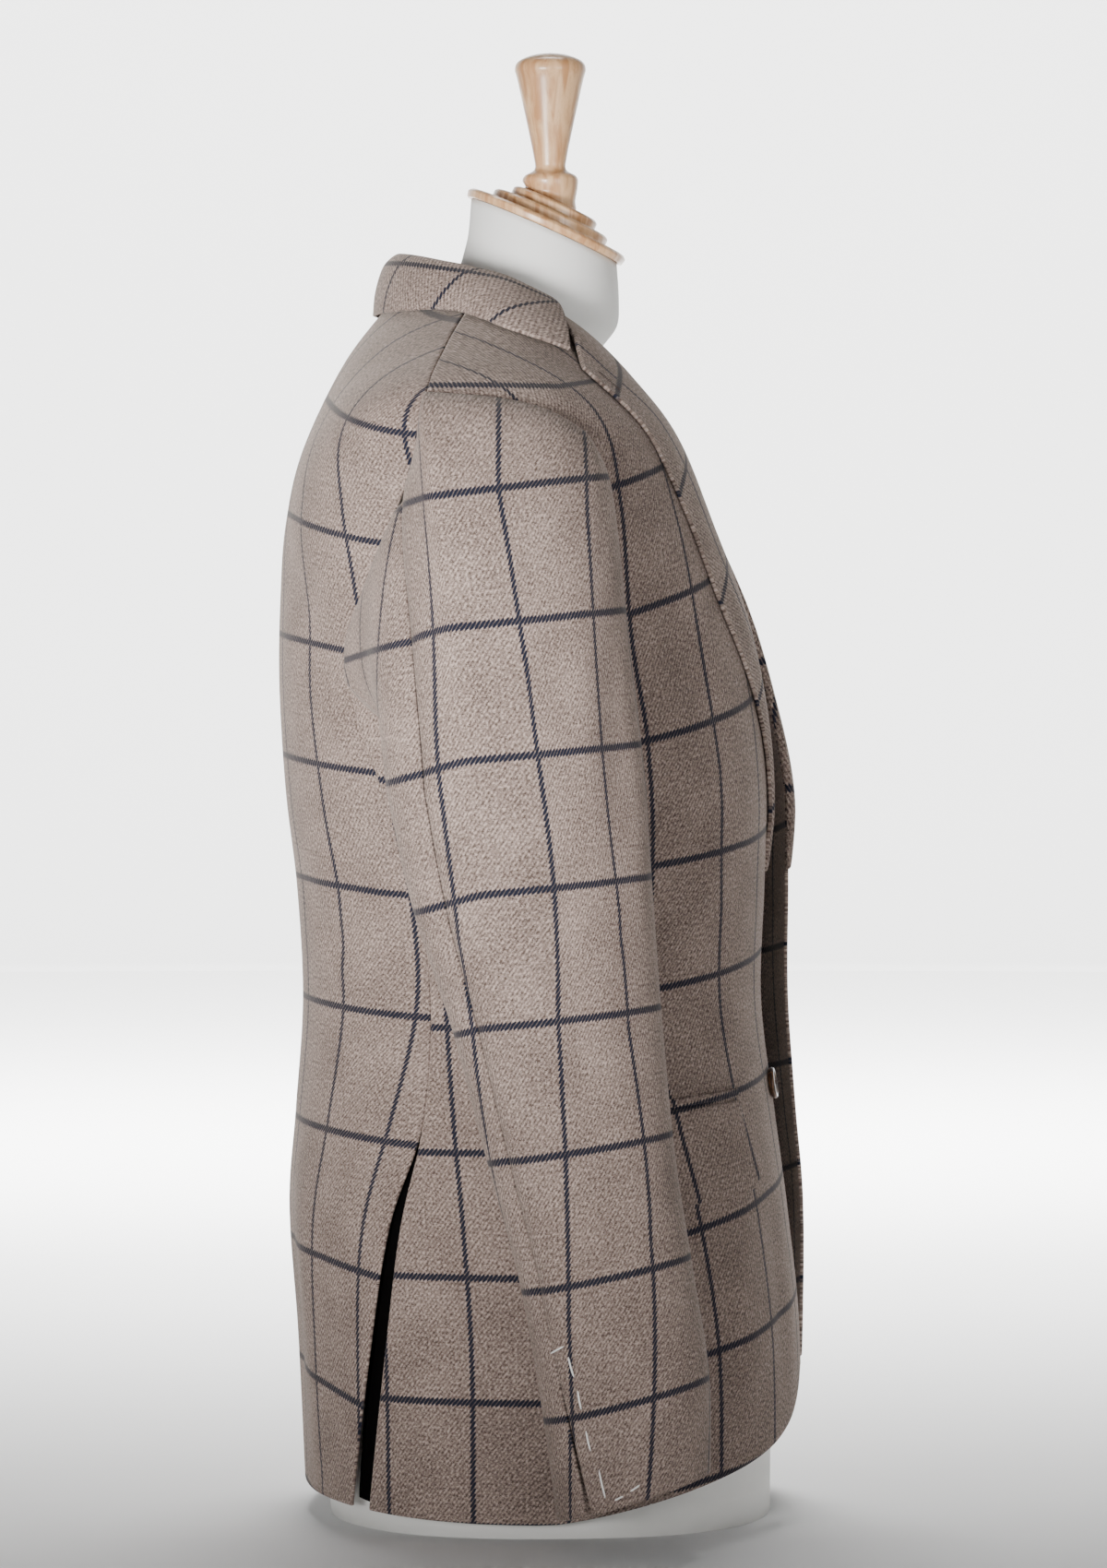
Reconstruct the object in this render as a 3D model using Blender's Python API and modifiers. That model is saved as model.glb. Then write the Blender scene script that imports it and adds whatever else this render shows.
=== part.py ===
"""Blazer worn open on a limbless dress form.

Metres, +Z up. The wearer faces -Y, and the wearer's right side is -X. The origin is the middle of the
form's flat base. Every cloth panel is a wall whose outer face lies on one body surface, which runs
through the rings of a short table. A place on it has a turn, from the centre back (0) to the centre
front (1), and a ring, from the neck seam (0) down to the hem.
"""
import math

import bmesh
import bpy
import numpy as np
from mathutils import Matrix, Vector

for old_object in list(bpy.data.objects):
    bpy.data.objects.remove(old_object, do_unlink=True)

# Cloth
CLOTH_WALL = 0.0022
SEAM_GAP = 0.0003
LAY_GAP = 0.0011
SIDES = {"right": -1, "left": 1}

# Rings of the body surface. The front of the left half stands a little further forward.
RING_COLUMNS = ("z_back", "y_back", "z_side", "y_side", "half_width",
                "z_front", "y_front_right", "y_front_left", "power")
BODY_RINGS = np.array((
    (0.757, 0.1000, 0.752, 0.040, 0.078, 0.738, -0.0300, -0.030, 2.0),
    (0.717, 0.1297, 0.724, 0.050, 0.150, 0.700, -0.0580, -0.058, 2.1),
    (0.662, 0.1552, 0.690, 0.055, 0.213, 0.665, -0.0800, -0.080, 2.3),
    (0.618, 0.1655, 0.630, 0.050, 0.206, 0.615, -0.1000, -0.102, 2.4),
    (0.576, 0.1690, 0.535, 0.040, 0.186, 0.560, -0.1210, -0.126, 2.4),
    (0.518, 0.1700, 0.480, 0.030, 0.181, 0.505, -0.1320, -0.141, 2.4),
    (0.450, 0.1660, 0.430, 0.022, 0.175, 0.450, -0.1365, -0.151, 2.4),
    (0.390, 0.1590, 0.380, 0.015, 0.170, 0.390, -0.1345, -0.151, 2.4),
    (0.320, 0.1554, 0.320, 0.012, 0.167, 0.320, -0.1325, -0.151, 2.4),
    (0.250, 0.1600, 0.250, 0.010, 0.175, 0.250, -0.1410, -0.156, 2.4),
    (0.190, 0.1640, 0.190, 0.006, 0.183, 0.190, -0.1490, -0.161, 2.4),
    (0.110, 0.1585, 0.110, 0.002, 0.188, 0.110, -0.1570, -0.161, 2.4),
    (0.019, 0.1540, 0.010, 0.000, 0.190, 0.010, -0.1570, -0.158, 2.4),
))
HEM_RING = len(BODY_RINGS) - 1
PANEL_RINGS = (0, 0.5, 1, 1.5, 1.9, 2, 2.2, 2.5, 3, 3.5, 4, 4.5, 5, 5.5, 6, 7, 8, 9, 10, 11, 11.5, 12)

# Seams on the body surface
SHOULDER_TURN = 0.45
UNDERARM_RING = 4.5
UNDERARM_DROP = 0.5
UNDERARM_ROUND = 0.8
ARMHOLE_COLUMNS = ("ring", "back_turn", "front_turn")
ARMHOLE = np.array((
    (1.9, 0.450, 0.450),
    (2.0, 0.447, 0.560),
    (2.2, 0.445, 0.640),
    (2.5, 0.440, 0.668),
    (3.0, 0.409, 0.668),
    (3.5, 0.352, 0.652),
    (4.0, 0.302, 0.633),
    (4.5, 0.290, 0.605),
))
SIDE_SEAM_COLUMNS = ("ring", "back_edge_turn", "side_edge_turn")
SIDE_BACK_SEAM = np.array((
    (4.5, 0.290, 0.290),
    (5.5, 0.335, 0.335),
    (7.0, 0.375, 0.375),
    (8.0, 0.3835, 0.3835),
    (9.0, 0.3735, 0.3735),
    (10.0, 0.325, 0.342),
    (11.0, 0.276, 0.304),
    (12.0, 0.227, 0.264),
))
VENT_TOP_RING = 9
VENT_UNDERLAP_TURN = 0.055
VENT_UNDERLAP_TUCK = 0.006
VENT_UNDERLAP_RINGS = (9.15, 11.96)
VENT_UNDERLAP_INSETS = (0.0034, 0.0085)
FRONT_SIDE_SEAM_TURN = 0.605
BACK_COLUMNS = 9
FRONT_COLUMNS = 10
SIDE_COLUMNS = 7
UNDERLAP_ROWS, UNDERLAP_COLUMNS = 7, 4

# Front edge, roll line and the cut-away corner
BREAK_RING = 7
ROLL_HALF_GAP_TOP = 0.066
EDGE_HALF_GAP_BREAK = 0.020
EDGE_HALF_GAP_HEM = 0.030
CORNER_START_TURN = 0.50
CORNER_END_TURN = 0.955
CORNER_RISE = 0.054
CORNER_POWER = 1.05
CORNER_ROUND = 0.025
CORNER_ROUND_POWER = 10
LAST_RING_DROP = 0.100

# Lapel
LAPEL_END_RING = 6.85
LAPEL_ROLL_BULGE = 0.003
LAPEL_BULGE_END = 0.9
LAPEL_BULGE_LOSS = 0.6
LAPEL_TOP_FADE = 0.16
LAPEL_ROW_POWER = 1.15
LAPEL_TOP_COLUMNS = ("turn", "ring")
LAPEL_TOP = np.array(((0.708, 0.06), (0.706, 0.30), (0.706, 0.58), (0.705, 0.88), (0.703, 1.20)))
LAPEL_EDGE_COLUMNS = ("ring", "half_gap")
LAPEL_EDGE = np.array(((1.2, 0.130), (1.5, 0.140), (2.3, 0.134), (2.9, 0.119), (3.75, 0.100), (4.4, 0.081),
                       (5.05, 0.061), (5.5, 0.047), (6.4, 0.032), (6.85, 0.0265)))
LAPEL_ROWS = 12

# Collar: the turn of the stand, its height, how far the fold leans out, and where the fall ends
COLLAR_COLUMNS = ("stand_turn", "stand_height", "lean", "fall_turn", "fall_ring")
COLLAR = np.array((
    (0.000, 0.0290, -0.0030, 0.000, 0.30),
    (0.220, 0.0280, -0.0025, 0.220, 0.28),
    (0.380, 0.0250, -0.0010, 0.390, 0.26),
    (0.470, 0.0220, 0.0010, 0.490, 0.42),
    (0.550, 0.0180, 0.0035, 0.555, 0.64),
    (0.620, 0.0125, 0.0060, 0.620, 0.78),
    (0.690, 0.0075, 0.0080, 0.692, 0.88),
))
COLLAR_STATIONS = 13
COLLAR_STEPS = 10
COLLAR_LIFT = 0.0008
COLLAR_STAND_SHARES = (0.75, 0.75, 0.80)
COLLAR_STAND_HOLLOW = 0.0012
COLLAR_FOLD_OUT = 0.0010
COLLAR_SHOULDER_SHARE, COLLAR_SHOULDER_OUT, COLLAR_SHOULDER_UP = 0.22, 0.0062, 0.0010
COLLAR_MIDDLE_SHARE, COLLAR_MIDDLE_OUT, COLLAR_MIDDLE_UP = 0.55, 0.0015, 0.0012

# Sleeve: heights of the sections, back and front edge, middle and half thickness across the body
SLEEVE_COLUMNS = ("z", "y_back", "y_front", "x_middle", "half_thick", "hind_turn")
SLEEVE_SECTIONS = np.array((
    (0.455, 0.0975, -0.0575, 0.2370, 0.0500, -47),
    (0.385, 0.0820, -0.0620, 0.2365, 0.0490, -48),
    (0.311, 0.0580, -0.0675, 0.2365, 0.0475, -52),
    (0.235, 0.0380, -0.0750, 0.2370, 0.0465, -53),
    (0.165, 0.0190, -0.0860, 0.2370, 0.0455, -54),
    (0.100, 0.0060, -0.0950, 0.2370, 0.0440, -47),
    (0.034, -0.0040, -0.0960, 0.2370, 0.0430, -36),
))
CUFF_SLANT = -0.31
CUFF_SLANT_START = 4
SLEEVE_FRONT_TURN = 125
SLEEVE_CAP_STEPS = 6
SLEEVE_ARM_STEPS = 2
SLEEVE_CAP_OUT = 0.75
SLEEVE_CAP_DOWN = 0.95
SLEEVE_LEAVE_UP = 0.10
SLEEVE_LEAVE_SPREAD = 0.8
SLEEVE_ARRIVE = (0, -0.10, -1.0)
SLEEVE_OVER_TOP_TURN = 60
HINDARM_STEPS_UP = 4

# Pocket on each side: jetting above, flap below
FLAP_BACK_TURN = 0.470
FLAP_FRONT_TURN = 0.795
FLAP_FRONT_SLANT = 0.030
FLAP_TOP_RING_FRONT = 8.80
FLAP_TOP_RING_BACK = 8.95
FLAP_RINGS_DEEP = 0.95
FLAP_CORNER = 0.25
JETTING_RINGS_DEEP = 0.085
POCKET_COLUMNS = 9
POCKET_RING_GAP = 0.01
JETTING_ROWS, FLAP_ROWS = 2, 6
FLAP_CORNER_POWER = 8

# Button on the right front, with a raised rim
BUTTON_INSET = 0.021
BUTTON_SEAT = 0.0004
BUTTON_RING = 8.73
BUTTON_PROFILE = ((0.0, 0.0030), (0.0064, 0.0030), (0.0076, 0.0040), (0.0092, 0.0038), (0.0100, 0.0024),
                  (0.0092, 0.0006), (0.0080, 0.0), (0.0, 0.0))

# Dress form
FORM_EASE_COLUMNS = ("ring", "ease")
FORM_EASE = np.array(((0.0, 0.0065), (0.6, 0.0031), (1.9, 0.0033), (2.6, 0.0070), (4.0, 0.0120),
                      (8.0, 0.0150), (12.0, 0.0160)))
FORM_FRONT_EASE = 0.0030
FORM_FRONT_FADE = 0.12
FORM_RINGS = (0.25, 0.6, 1, 1.5, 1.9, 2.3, 3, 4, 5, 6, 7, 8, 9, 10, 11, 12)
FORM_TURNS = 17
FORM_SETTLE_POWER = 5
CAP_TILT = 0.42
CAP_BASE = (0.0, 0.0039, 0.8013)
CAP_PROFILE = ((0.0, 0.0190), (0.0265, 0.0190), (0.0286, 0.0175), (0.0286, 0.0130), (0.0370, 0.0125),
               (0.0388, 0.0110), (0.0388, 0.0065), (0.0520, 0.0060), (0.0540, 0.0040), (0.0530, 0.0),
               (0.0, 0.0))
NECK_COLUMNS = ("height", "y_middle", "half_width", "half_depth", "tilt")
NECK_RINGS = (
    (CAP_BASE[2] - SEAM_GAP / math.cos(CAP_TILT), CAP_BASE[1], 0.0520, 0.0500, CAP_TILT),
    (0.7750, 0.0050, 0.0525, 0.0510, 0.34),
    (0.7530, 0.0120, 0.0550, 0.0550, 0.22),
)
FINIAL_FOOT = 0.8270
FINIAL_PROFILE = ((0.0, 0.9130), (0.0110, 0.9115), (0.0195, 0.9080), (0.0223, 0.9030), (0.0205, 0.8950),
                  (0.0150, 0.8700), (0.0105, 0.8480), (0.0100, 0.8400), (0.0160, 0.8360), (0.0175, 0.8325),
                  (0.0158, 0.8290), (0.0150, FINIAL_FOOT), (0.0, FINIAL_FOOT))
TURNED_STEPS = 24

# Colours and finishes
CLOTH_COLOUR = (0.20, 0.155, 0.125, 1.0)
VENT_COLOUR = (0.006, 0.005, 0.005, 1.0)
COVER_COLOUR = (0.78, 0.76, 0.71, 1.0)
WOOD_COLOUR = (0.36, 0.17, 0.07, 1.0)
HORN_COLOUR = (0.10, 0.05, 0.03, 1.0)

collection = bpy.data.collections.new("blazer_on_dress_form")
bpy.context.scene.collection.children.link(collection)


def finish_object(name, mesh, colour, roughness):
    """Link a mesh as a named object with its own material."""
    material = bpy.data.materials.new(name)
    material.use_nodes = True
    shader = material.node_tree.nodes["Principled BSDF"]
    shader.inputs["Base Color"].default_value = colour
    shader.inputs["Roughness"].default_value = roughness
    shader.inputs["Metallic"].default_value = 0.0
    mesh.materials.append(material)
    mesh.shade_smooth()
    mesh.set_sharp_from_angle(angle=math.radians(40))
    made = bpy.data.objects.new(name, mesh)
    collection.objects.link(made)
    return made


def through_rows(table, place):
    """Smooth curve through the rows of a table: cubic between rows, level slope from the neighbours."""
    place = np.asarray(place, dtype=float)
    count = len(table)
    row = np.clip(np.floor(place).astype(int), 0, count - 2)
    part = (place - row)[..., None]
    slope = np.gradient(table, axis=0)
    start, end = table[row], table[row + 1]
    lead, trail = slope[row], slope[row + 1]
    return (start * (1 + 2 * part) * (1 - part) ** 2 + lead * part * (1 - part) ** 2
            + end * part ** 2 * (3 - 2 * part) + trail * part ** 2 * (part - 1))


def body_point(side, turn, ring):
    """Point of the body surface: a rounded ellipse at each ring, its height blended back, side, front."""
    turn, ring = np.broadcast_arrays(np.asarray(turn, float), np.asarray(ring, float))
    row = {name: through_rows(BODY_RINGS, ring)[..., i] for i, name in enumerate(RING_COLUMNS)}
    sine, cosine = np.sin(turn * np.pi), np.cos(turn * np.pi)
    bend = 2 / row["power"]
    y_front = row["y_front_right"] if side < 0 else row["y_front_left"]
    y_end = np.where(cosine > 0, row["y_back"], y_front)
    z_end = np.where(cosine > 0, row["z_back"], row["z_front"])
    x = side * row["half_width"] * np.sign(sine) * np.abs(sine) ** bend
    y = row["y_side"] + (y_end - row["y_side"]) * np.abs(cosine) ** bend
    z = row["z_side"] * sine ** 2 + z_end * cosine ** 2
    return np.stack((x, y, z), axis=-1)


def unit(vectors):
    """Vectors of length one."""
    return vectors / np.linalg.norm(vectors, axis=-1, keepdims=True)


def body_normal(side, turn, ring):
    """Outward direction of the body surface, from small steps along and down it."""
    step_turn, step_ring = 0.002, 0.01
    along = body_point(side, turn + step_turn, ring) - body_point(side, turn - step_turn, ring)
    down = body_point(side, turn, ring + step_ring) - body_point(side, turn, ring - step_ring)
    return side * unit(np.cross(along, down))


def turn_at_gap(ring, half_gap):
    """Turn at which the front of a ring lies half_gap from the centre plane."""
    row = through_rows(BODY_RINGS, ring)
    half_width = row[..., RING_COLUMNS.index("half_width")]
    power = row[..., RING_COLUMNS.index("power")]
    return 1 - np.arcsin((half_gap / half_width) ** (power / 2)) / np.pi


def front_edge_turn(ring):
    """Turn of the front's edge: the roll line down to the break point, then the free edge."""
    ring = np.asarray(ring, float)
    half_gap = np.interp(ring, (0, BREAK_RING, HEM_RING),
                         (ROLL_HALF_GAP_TOP, EDGE_HALF_GAP_BREAK, EDGE_HALF_GAP_HEM))
    return turn_at_gap(ring, half_gap)


def pull_in(grid, amount):
    """Grid with its four edges drawn in by a small amount, which leaves the gap at a seam."""
    out = grid.copy()
    out[0] += unit(grid[1] - grid[0]) * amount
    out[-1] += unit(grid[-2] - grid[-1]) * amount
    out[:, 0] += unit(grid[:, 1] - grid[:, 0]) * amount
    out[:, -1] += unit(grid[:, -2] - grid[:, -1]) * amount
    return out


def face_outwards(shape):
    """Turn the faces of a closed shape the same way round, and then outwards."""
    bmesh.ops.recalc_face_normals(shape, faces=shape.faces)
    if shape.calc_volume(signed=True) < 0:
        bmesh.ops.reverse_faces(shape, faces=shape.faces)


def cloth_wall(name, outer, inner, colour=CLOTH_COLOUR, roughness=0.9):
    """Closed wall between two grids of points: a flat grid, extruded once, both layers set in place."""
    rows, columns = outer.shape[:2]
    shape = bmesh.new()
    place = shape.verts.layers.int.new("place")
    bmesh.ops.create_grid(shape, x_segments=columns - 1, y_segments=rows - 1, size=1)
    shape.verts.ensure_lookup_table()
    outer_points = outer.reshape(-1, 3)
    inner_points = inner.reshape(-1, 3)
    for index, vertex in enumerate(shape.verts):
        vertex[place] = index
    extruded = bmesh.ops.extrude_face_region(shape, geom=list(shape.faces))
    lifted = {item for item in extruded["geom"] if isinstance(item, bmesh.types.BMVert)}
    for vertex in shape.verts:
        points = inner_points if vertex in lifted else outer_points
        vertex.co = points[vertex[place]]
    face_outwards(shape)
    mesh = bpy.data.meshes.new(name)
    shape.to_mesh(mesh)
    shape.free()
    return finish_object(name, mesh, colour, roughness)


def panel(name, side, turn, ring, lift=0.0, colour=CLOTH_COLOUR):
    """Cloth wall on the body surface at a grid of turns and rings, its outer face moved out by lift."""
    normal = body_normal(side, turn, ring)
    outer = body_point(side, turn, ring) + normal * np.broadcast_to(lift, turn.shape)[..., None]
    inner = outer - normal * CLOTH_WALL
    return cloth_wall(name, pull_in(outer, SEAM_GAP / 2), pull_in(inner, SEAM_GAP / 2), colour)


def spread(start, end, count):
    """Rows that run from each start value to its end value in even steps."""
    share = np.linspace(0, 1, count)
    return start[:, None] + (end - start)[:, None] * share


def upper_edge(ring, column):
    """Turn of the shoulder seam, then of the armhole, at rings above the underarm."""
    return np.interp(ring, ARMHOLE[:, 0], ARMHOLE[:, column])


def make_back(label, side):
    """Back half: centre back seam to shoulder seam, armhole and side-back seam with the vent's edge."""
    ring = np.array(PANEL_RINGS, float)
    edge = np.where(ring <= UNDERARM_RING, upper_edge(ring, 1),
                    np.interp(ring, SIDE_BACK_SEAM[:, 0], SIDE_BACK_SEAM[:, 1]))
    turn = spread(np.zeros_like(edge), edge, BACK_COLUMNS)
    panel("back_" + label, side, turn, np.broadcast_to(ring[:, None], turn.shape))


def underarm_ring(turn):
    """Ring of the armhole's lowest stretch, between the back and the front of the armhole."""
    back, front = ARMHOLE[-1, 1], ARMHOLE[-1, 2]
    part = np.clip((turn - back) / (front - back), 0, 1)
    return UNDERARM_RING + UNDERARM_DROP * np.sin(np.pi * part) ** UNDERARM_ROUND


def underarm_turns():
    """Turns along the armhole's lowest stretch, which the side panel and the sleeve share."""
    return np.linspace(ARMHOLE[-1, 1], ARMHOLE[-1, 2], SIDE_COLUMNS)


def front_rings(turn, ring):
    """Rings ahead of the side, where the hem rises steadily and then rounds up into the front edge."""
    reach = np.clip((turn - CORNER_START_TURN) / (CORNER_END_TURN - CORNER_START_TURN), 0, 1)
    rise = CORNER_RISE * reach ** CORNER_POWER + CORNER_ROUND * reach ** CORNER_ROUND_POWER
    low = np.clip((ring - BREAK_RING) / (HEM_RING - BREAK_RING), 0, 1)
    return ring - rise / LAST_RING_DROP * low ** 2


def make_side(label, side):
    """Side panel below the armhole, between the side-back seam and the front seam."""
    rings = np.array([ring for ring in PANEL_RINGS if ring >= UNDERARM_RING])
    down = (rings[:, None] - UNDERARM_RING) / (HEM_RING - UNDERARM_RING)
    top = underarm_ring(underarm_turns())[None, :]
    ring = top + (HEM_RING - top) * down
    back = np.interp(rings, SIDE_BACK_SEAM[:, 0], SIDE_BACK_SEAM[:, 2])[:, None]
    turn = back + (FRONT_SIDE_SEAM_TURN - back) * np.linspace(0, 1, SIDE_COLUMNS)
    panel("side_" + label, side, turn, front_rings(turn, ring))


def make_vent_underlap(label, side):
    """Strip that leaves the side panel's edge and sinks in under the edge of the vent."""
    ring = np.linspace(*VENT_UNDERLAP_RINGS, UNDERLAP_ROWS)
    front = np.interp(ring, SIDE_BACK_SEAM[:, 0], SIDE_BACK_SEAM[:, 2]) + VENT_UNDERLAP_TUCK
    turn = spread(front, front - VENT_UNDERLAP_TURN, UNDERLAP_COLUMNS)
    panel("vent_underlap_" + label, side, turn, np.broadcast_to(ring[:, None], turn.shape),
          lift=-np.linspace(*VENT_UNDERLAP_INSETS, UNDERLAP_COLUMNS), colour=VENT_COLOUR)


def make_front(label, side):
    """Front: shoulder seam, armhole and side seam to the roll line and the free edge."""
    ring = np.array(PANEL_RINGS, float)
    edge = np.where(ring <= UNDERARM_RING, upper_edge(ring, 2), FRONT_SIDE_SEAM_TURN)
    turn = spread(edge, front_edge_turn(ring), FRONT_COLUMNS)
    panel("front_" + label, side, turn, front_rings(turn, np.broadcast_to(ring[:, None], turn.shape)))


def make_lapel(label, side):
    """Lapel: a layer on the front between the roll line and its own edge, fuller near the roll."""
    across = np.linspace(0, 1, len(LAPEL_TOP))[None, :]
    down = np.linspace(0, 1, LAPEL_ROWS)[:, None] ** LAPEL_ROW_POWER
    inner_ring = LAPEL_TOP[0, 1] + (LAPEL_END_RING - LAPEL_TOP[0, 1]) * down
    outer_ring = LAPEL_TOP[-1, 1] + (LAPEL_END_RING - LAPEL_TOP[-1, 1]) * down
    inner_turn = front_edge_turn(inner_ring)
    outer_turn = turn_at_gap(outer_ring, np.interp(outer_ring, LAPEL_EDGE[:, 0], LAPEL_EDGE[:, 1]))
    ring = inner_ring + (outer_ring - inner_ring) * across
    turn = inner_turn + (outer_turn - inner_turn) * across
    fade = np.clip(1 - down / LAPEL_TOP_FADE, 0, 1)
    turn = turn + fade * (LAPEL_TOP[None, :, 0] - turn[:1])
    ring = ring + fade * (LAPEL_TOP[None, :, 1] - ring[:1])
    bulge = (LAPEL_ROLL_BULGE * np.sin(np.pi * np.clip(across / LAPEL_BULGE_END, 0, 1))
             * (1 - LAPEL_BULGE_LOSS * down))
    panel("lapel_" + label, side, turn, ring, lift=LAY_GAP + CLOTH_WALL + bulge)


def bend_through(points, count):
    """Smooth curve through a short run of points, read at even steps."""
    return through_rows(points, np.linspace(0, len(points) - 1, count))


def collar_section(row):
    """Line across the collar at one station: up the stand, over the fold and down the fall."""
    side = 1
    stand_turn, height, lean, fall_turn, fall_ring = row
    foot = body_point(side, stand_turn, 0.0)
    away = unit(foot * (1, 1, 0) - np.array((0, BODY_RINGS[0, 3], 0)))
    up = np.array((0, 0, 1.0))
    bottom = foot - away * CLOTH_WALL + up * COLLAR_LIFT
    fold = bottom + up * height + away * lean
    edge_lift = LAY_GAP + CLOTH_WALL
    edge = body_point(side, fall_turn, fall_ring) + body_normal(side, fall_turn, fall_ring) * edge_lift
    shoulder_in = bottom + (fold - bottom) * COLLAR_STAND_SHARES - away * COLLAR_STAND_HOLLOW
    shoulder_out = fold + (edge - fold) * COLLAR_SHOULDER_SHARE
    shoulder_out = shoulder_out + away * COLLAR_SHOULDER_OUT + up * COLLAR_SHOULDER_UP
    middle = shoulder_out + (edge - shoulder_out) * COLLAR_MIDDLE_SHARE
    middle = middle + away * COLLAR_MIDDLE_OUT + up * COLLAR_MIDDLE_UP
    fold_out = fold + away * COLLAR_FOLD_OUT
    return bend_through(np.array((bottom, shoulder_in, fold_out, shoulder_out, middle, edge)), COLLAR_STEPS)


def make_collar():
    """Collar in one piece, from the right gorge seam round the back of the neck to the left one."""
    stations = through_rows(COLLAR, np.linspace(0, len(COLLAR) - 1, COLLAR_STATIONS))
    half = np.stack([collar_section(row) for row in stations])
    mirrored = half[:0:-1] * (-1, 1, 1)
    face = np.concatenate((mirrored, half))
    normal = unit(np.cross(np.gradient(face, axis=0), np.gradient(face, axis=1)))
    cloth_wall("collar", face, face - normal * CLOTH_WALL)


def sleeve_loop(side):
    """Armhole points that the sleeve starts from: up the front, over the top, down the back, underneath.

    Gives the points, the way the cloth leaves each one, each point's turn round the sleeve (0 at the top,
    90 in front, 180 underneath), and how many points come before the underarm.
    """
    front = ARMHOLE[:0:-1, (2, 0)]
    back = ARMHOLE[:, (1, 0)]
    under_turn = underarm_turns()[1:-1]
    under = np.stack((under_turn, underarm_ring(under_turn)), axis=-1)
    loop = np.concatenate((front, back, under))
    back_end = len(front) + len(back)
    points = body_point(side, loop[:, 0], loop[:, 1])
    middle = points.mean(axis=0)
    around = points - middle
    turn = np.degrees(np.arctan2(-around[:, 1], around[:, 2]))
    turn[len(front):][turn[len(front):] > SLEEVE_OVER_TOP_TURN] -= 360
    points = points - unit(around * (0, 1, 1)) * SEAM_GAP + np.array((side * SEAM_GAP, 0, 0))
    spread_out = SLEEVE_LEAVE_SPREAD * body_normal(side, loop[:, 0], loop[:, 1]) * (1, 1, 0)
    leave = unit(np.array((side, 0, SLEEVE_LEAVE_UP)) + spread_out)
    return points, leave, turn, back_end


def sleeve_section(side, row, turn):
    """Oval across the arm at one row of the sleeve's table, its height slanted at the cuff."""
    z, y_back, y_front, x_middle, half_thick, slant = row
    angle = np.radians(turn)
    y_middle, half_depth = (y_back + y_front) / 2, (y_back - y_front) / 2
    x = side * (x_middle + half_thick * np.cos(angle))
    y = y_middle - half_depth * np.sin(angle)
    return np.stack((x, y, z + slant * (y - y_middle)), axis=-1)


def sleeve_turns(start, hind_index, hind_turn):
    """Turns of a section's points, moved so that the hindarm seam lies at hind_turn."""
    low = start[hind_index]
    share = (start - low) / (start[0] - low)
    top = hind_turn + share * (SLEEVE_FRONT_TURN - hind_turn)
    under_share = (start - low) / (start[0] - 360 - low)
    under = hind_turn + under_share * (SLEEVE_FRONT_TURN - 360 - hind_turn)
    return np.where(np.arange(len(start)) <= hind_index, top, under)


def sleeve_grid(side):
    """Rows of points from the armhole over the sleeve head and down the arm to the cuff."""
    loop, leave, start, back_end = sleeve_loop(side)
    hind_index = back_end - HINDARM_STEPS_UP
    places = np.linspace(0, len(SLEEVE_SECTIONS) - 1, (len(SLEEVE_SECTIONS) - 1) * SLEEVE_ARM_STEPS + 1)
    arm = []
    for place, row in zip(places, through_rows(SLEEVE_SECTIONS, places)):
        slant = CUFF_SLANT * np.clip((place - CUFF_SLANT_START) / (places[-1] - CUFF_SLANT_START), 0, 1)
        turn = sleeve_turns(start, hind_index, row[5])
        arm.append(sleeve_section(side, (*row[:5], slant), turn))
    reach = np.linalg.norm(arm[0] - loop, axis=-1, keepdims=True)
    leave = leave * reach * SLEEVE_CAP_OUT
    arrive = np.array(SLEEVE_ARRIVE) * reach * SLEEVE_CAP_DOWN
    cap = []
    for part in np.linspace(0, 1, SLEEVE_CAP_STEPS + 1)[:-1]:
        cap.append(loop * (1 + 2 * part) * (1 - part) ** 2 + leave * part * (1 - part) ** 2
                   + arm[0] * part ** 2 * (3 - 2 * part) + arrive * part ** 2 * (part - 1))
    return np.stack(cap + arm), hind_index


def make_sleeve(label, side):
    """Top sleeve and under sleeve, two walls of one tube, parted at the forearm and hindarm seams."""
    tube, hind_index = sleeve_grid(side)
    wrapped = np.concatenate((tube[:, -1:], tube, tube[:, :1]), axis=1)
    around = (wrapped[:, 2:] - wrapped[:, :-2])
    normal = -side * unit(np.cross(around, np.gradient(tube, axis=0)))
    inner = tube - normal * CLOTH_WALL
    columns = np.arange(tube.shape[1] + 1) % tube.shape[1]
    halves = (("top_sleeve_", columns[:hind_index + 1]), ("under_sleeve_", columns[hind_index:]))
    for name, picked in halves:
        outer_half = pull_in(tube[:, picked], SEAM_GAP / 2)
        inner_half = pull_in(inner[:, picked], SEAM_GAP / 2)
        cloth_wall(name + label, outer_half, inner_half)


def make_pocket(label, side):
    """Jetting strip and flap, both lying on the front and the side panel."""
    across = np.linspace(0, 1, POCKET_COLUMNS)[None, :]
    top_turn = FLAP_BACK_TURN + (FLAP_FRONT_TURN - FLAP_BACK_TURN) * across
    top_ring = FLAP_TOP_RING_BACK + (FLAP_TOP_RING_FRONT - FLAP_TOP_RING_BACK) * across
    jetting_start = -JETTING_RINGS_DEEP - POCKET_RING_GAP
    for name, start, depth, slant, rows in (
            ("pocket_jetting_", jetting_start, JETTING_RINGS_DEEP, 0.0, JETTING_ROWS),
            ("pocket_flap_", POCKET_RING_GAP, FLAP_RINGS_DEEP, FLAP_FRONT_SLANT, FLAP_ROWS)):
        down = np.linspace(0, 1, rows)[:, None]
        rounding = FLAP_CORNER * np.abs(2 * across - 1) ** FLAP_CORNER_POWER if slant else 0 * across
        ring = top_ring + start + depth * down * (1 - rounding * down ** 2)
        panel(name + label, side, top_turn + slant * down + 0 * ring, ring, lift=LAY_GAP + CLOTH_WALL)


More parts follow.
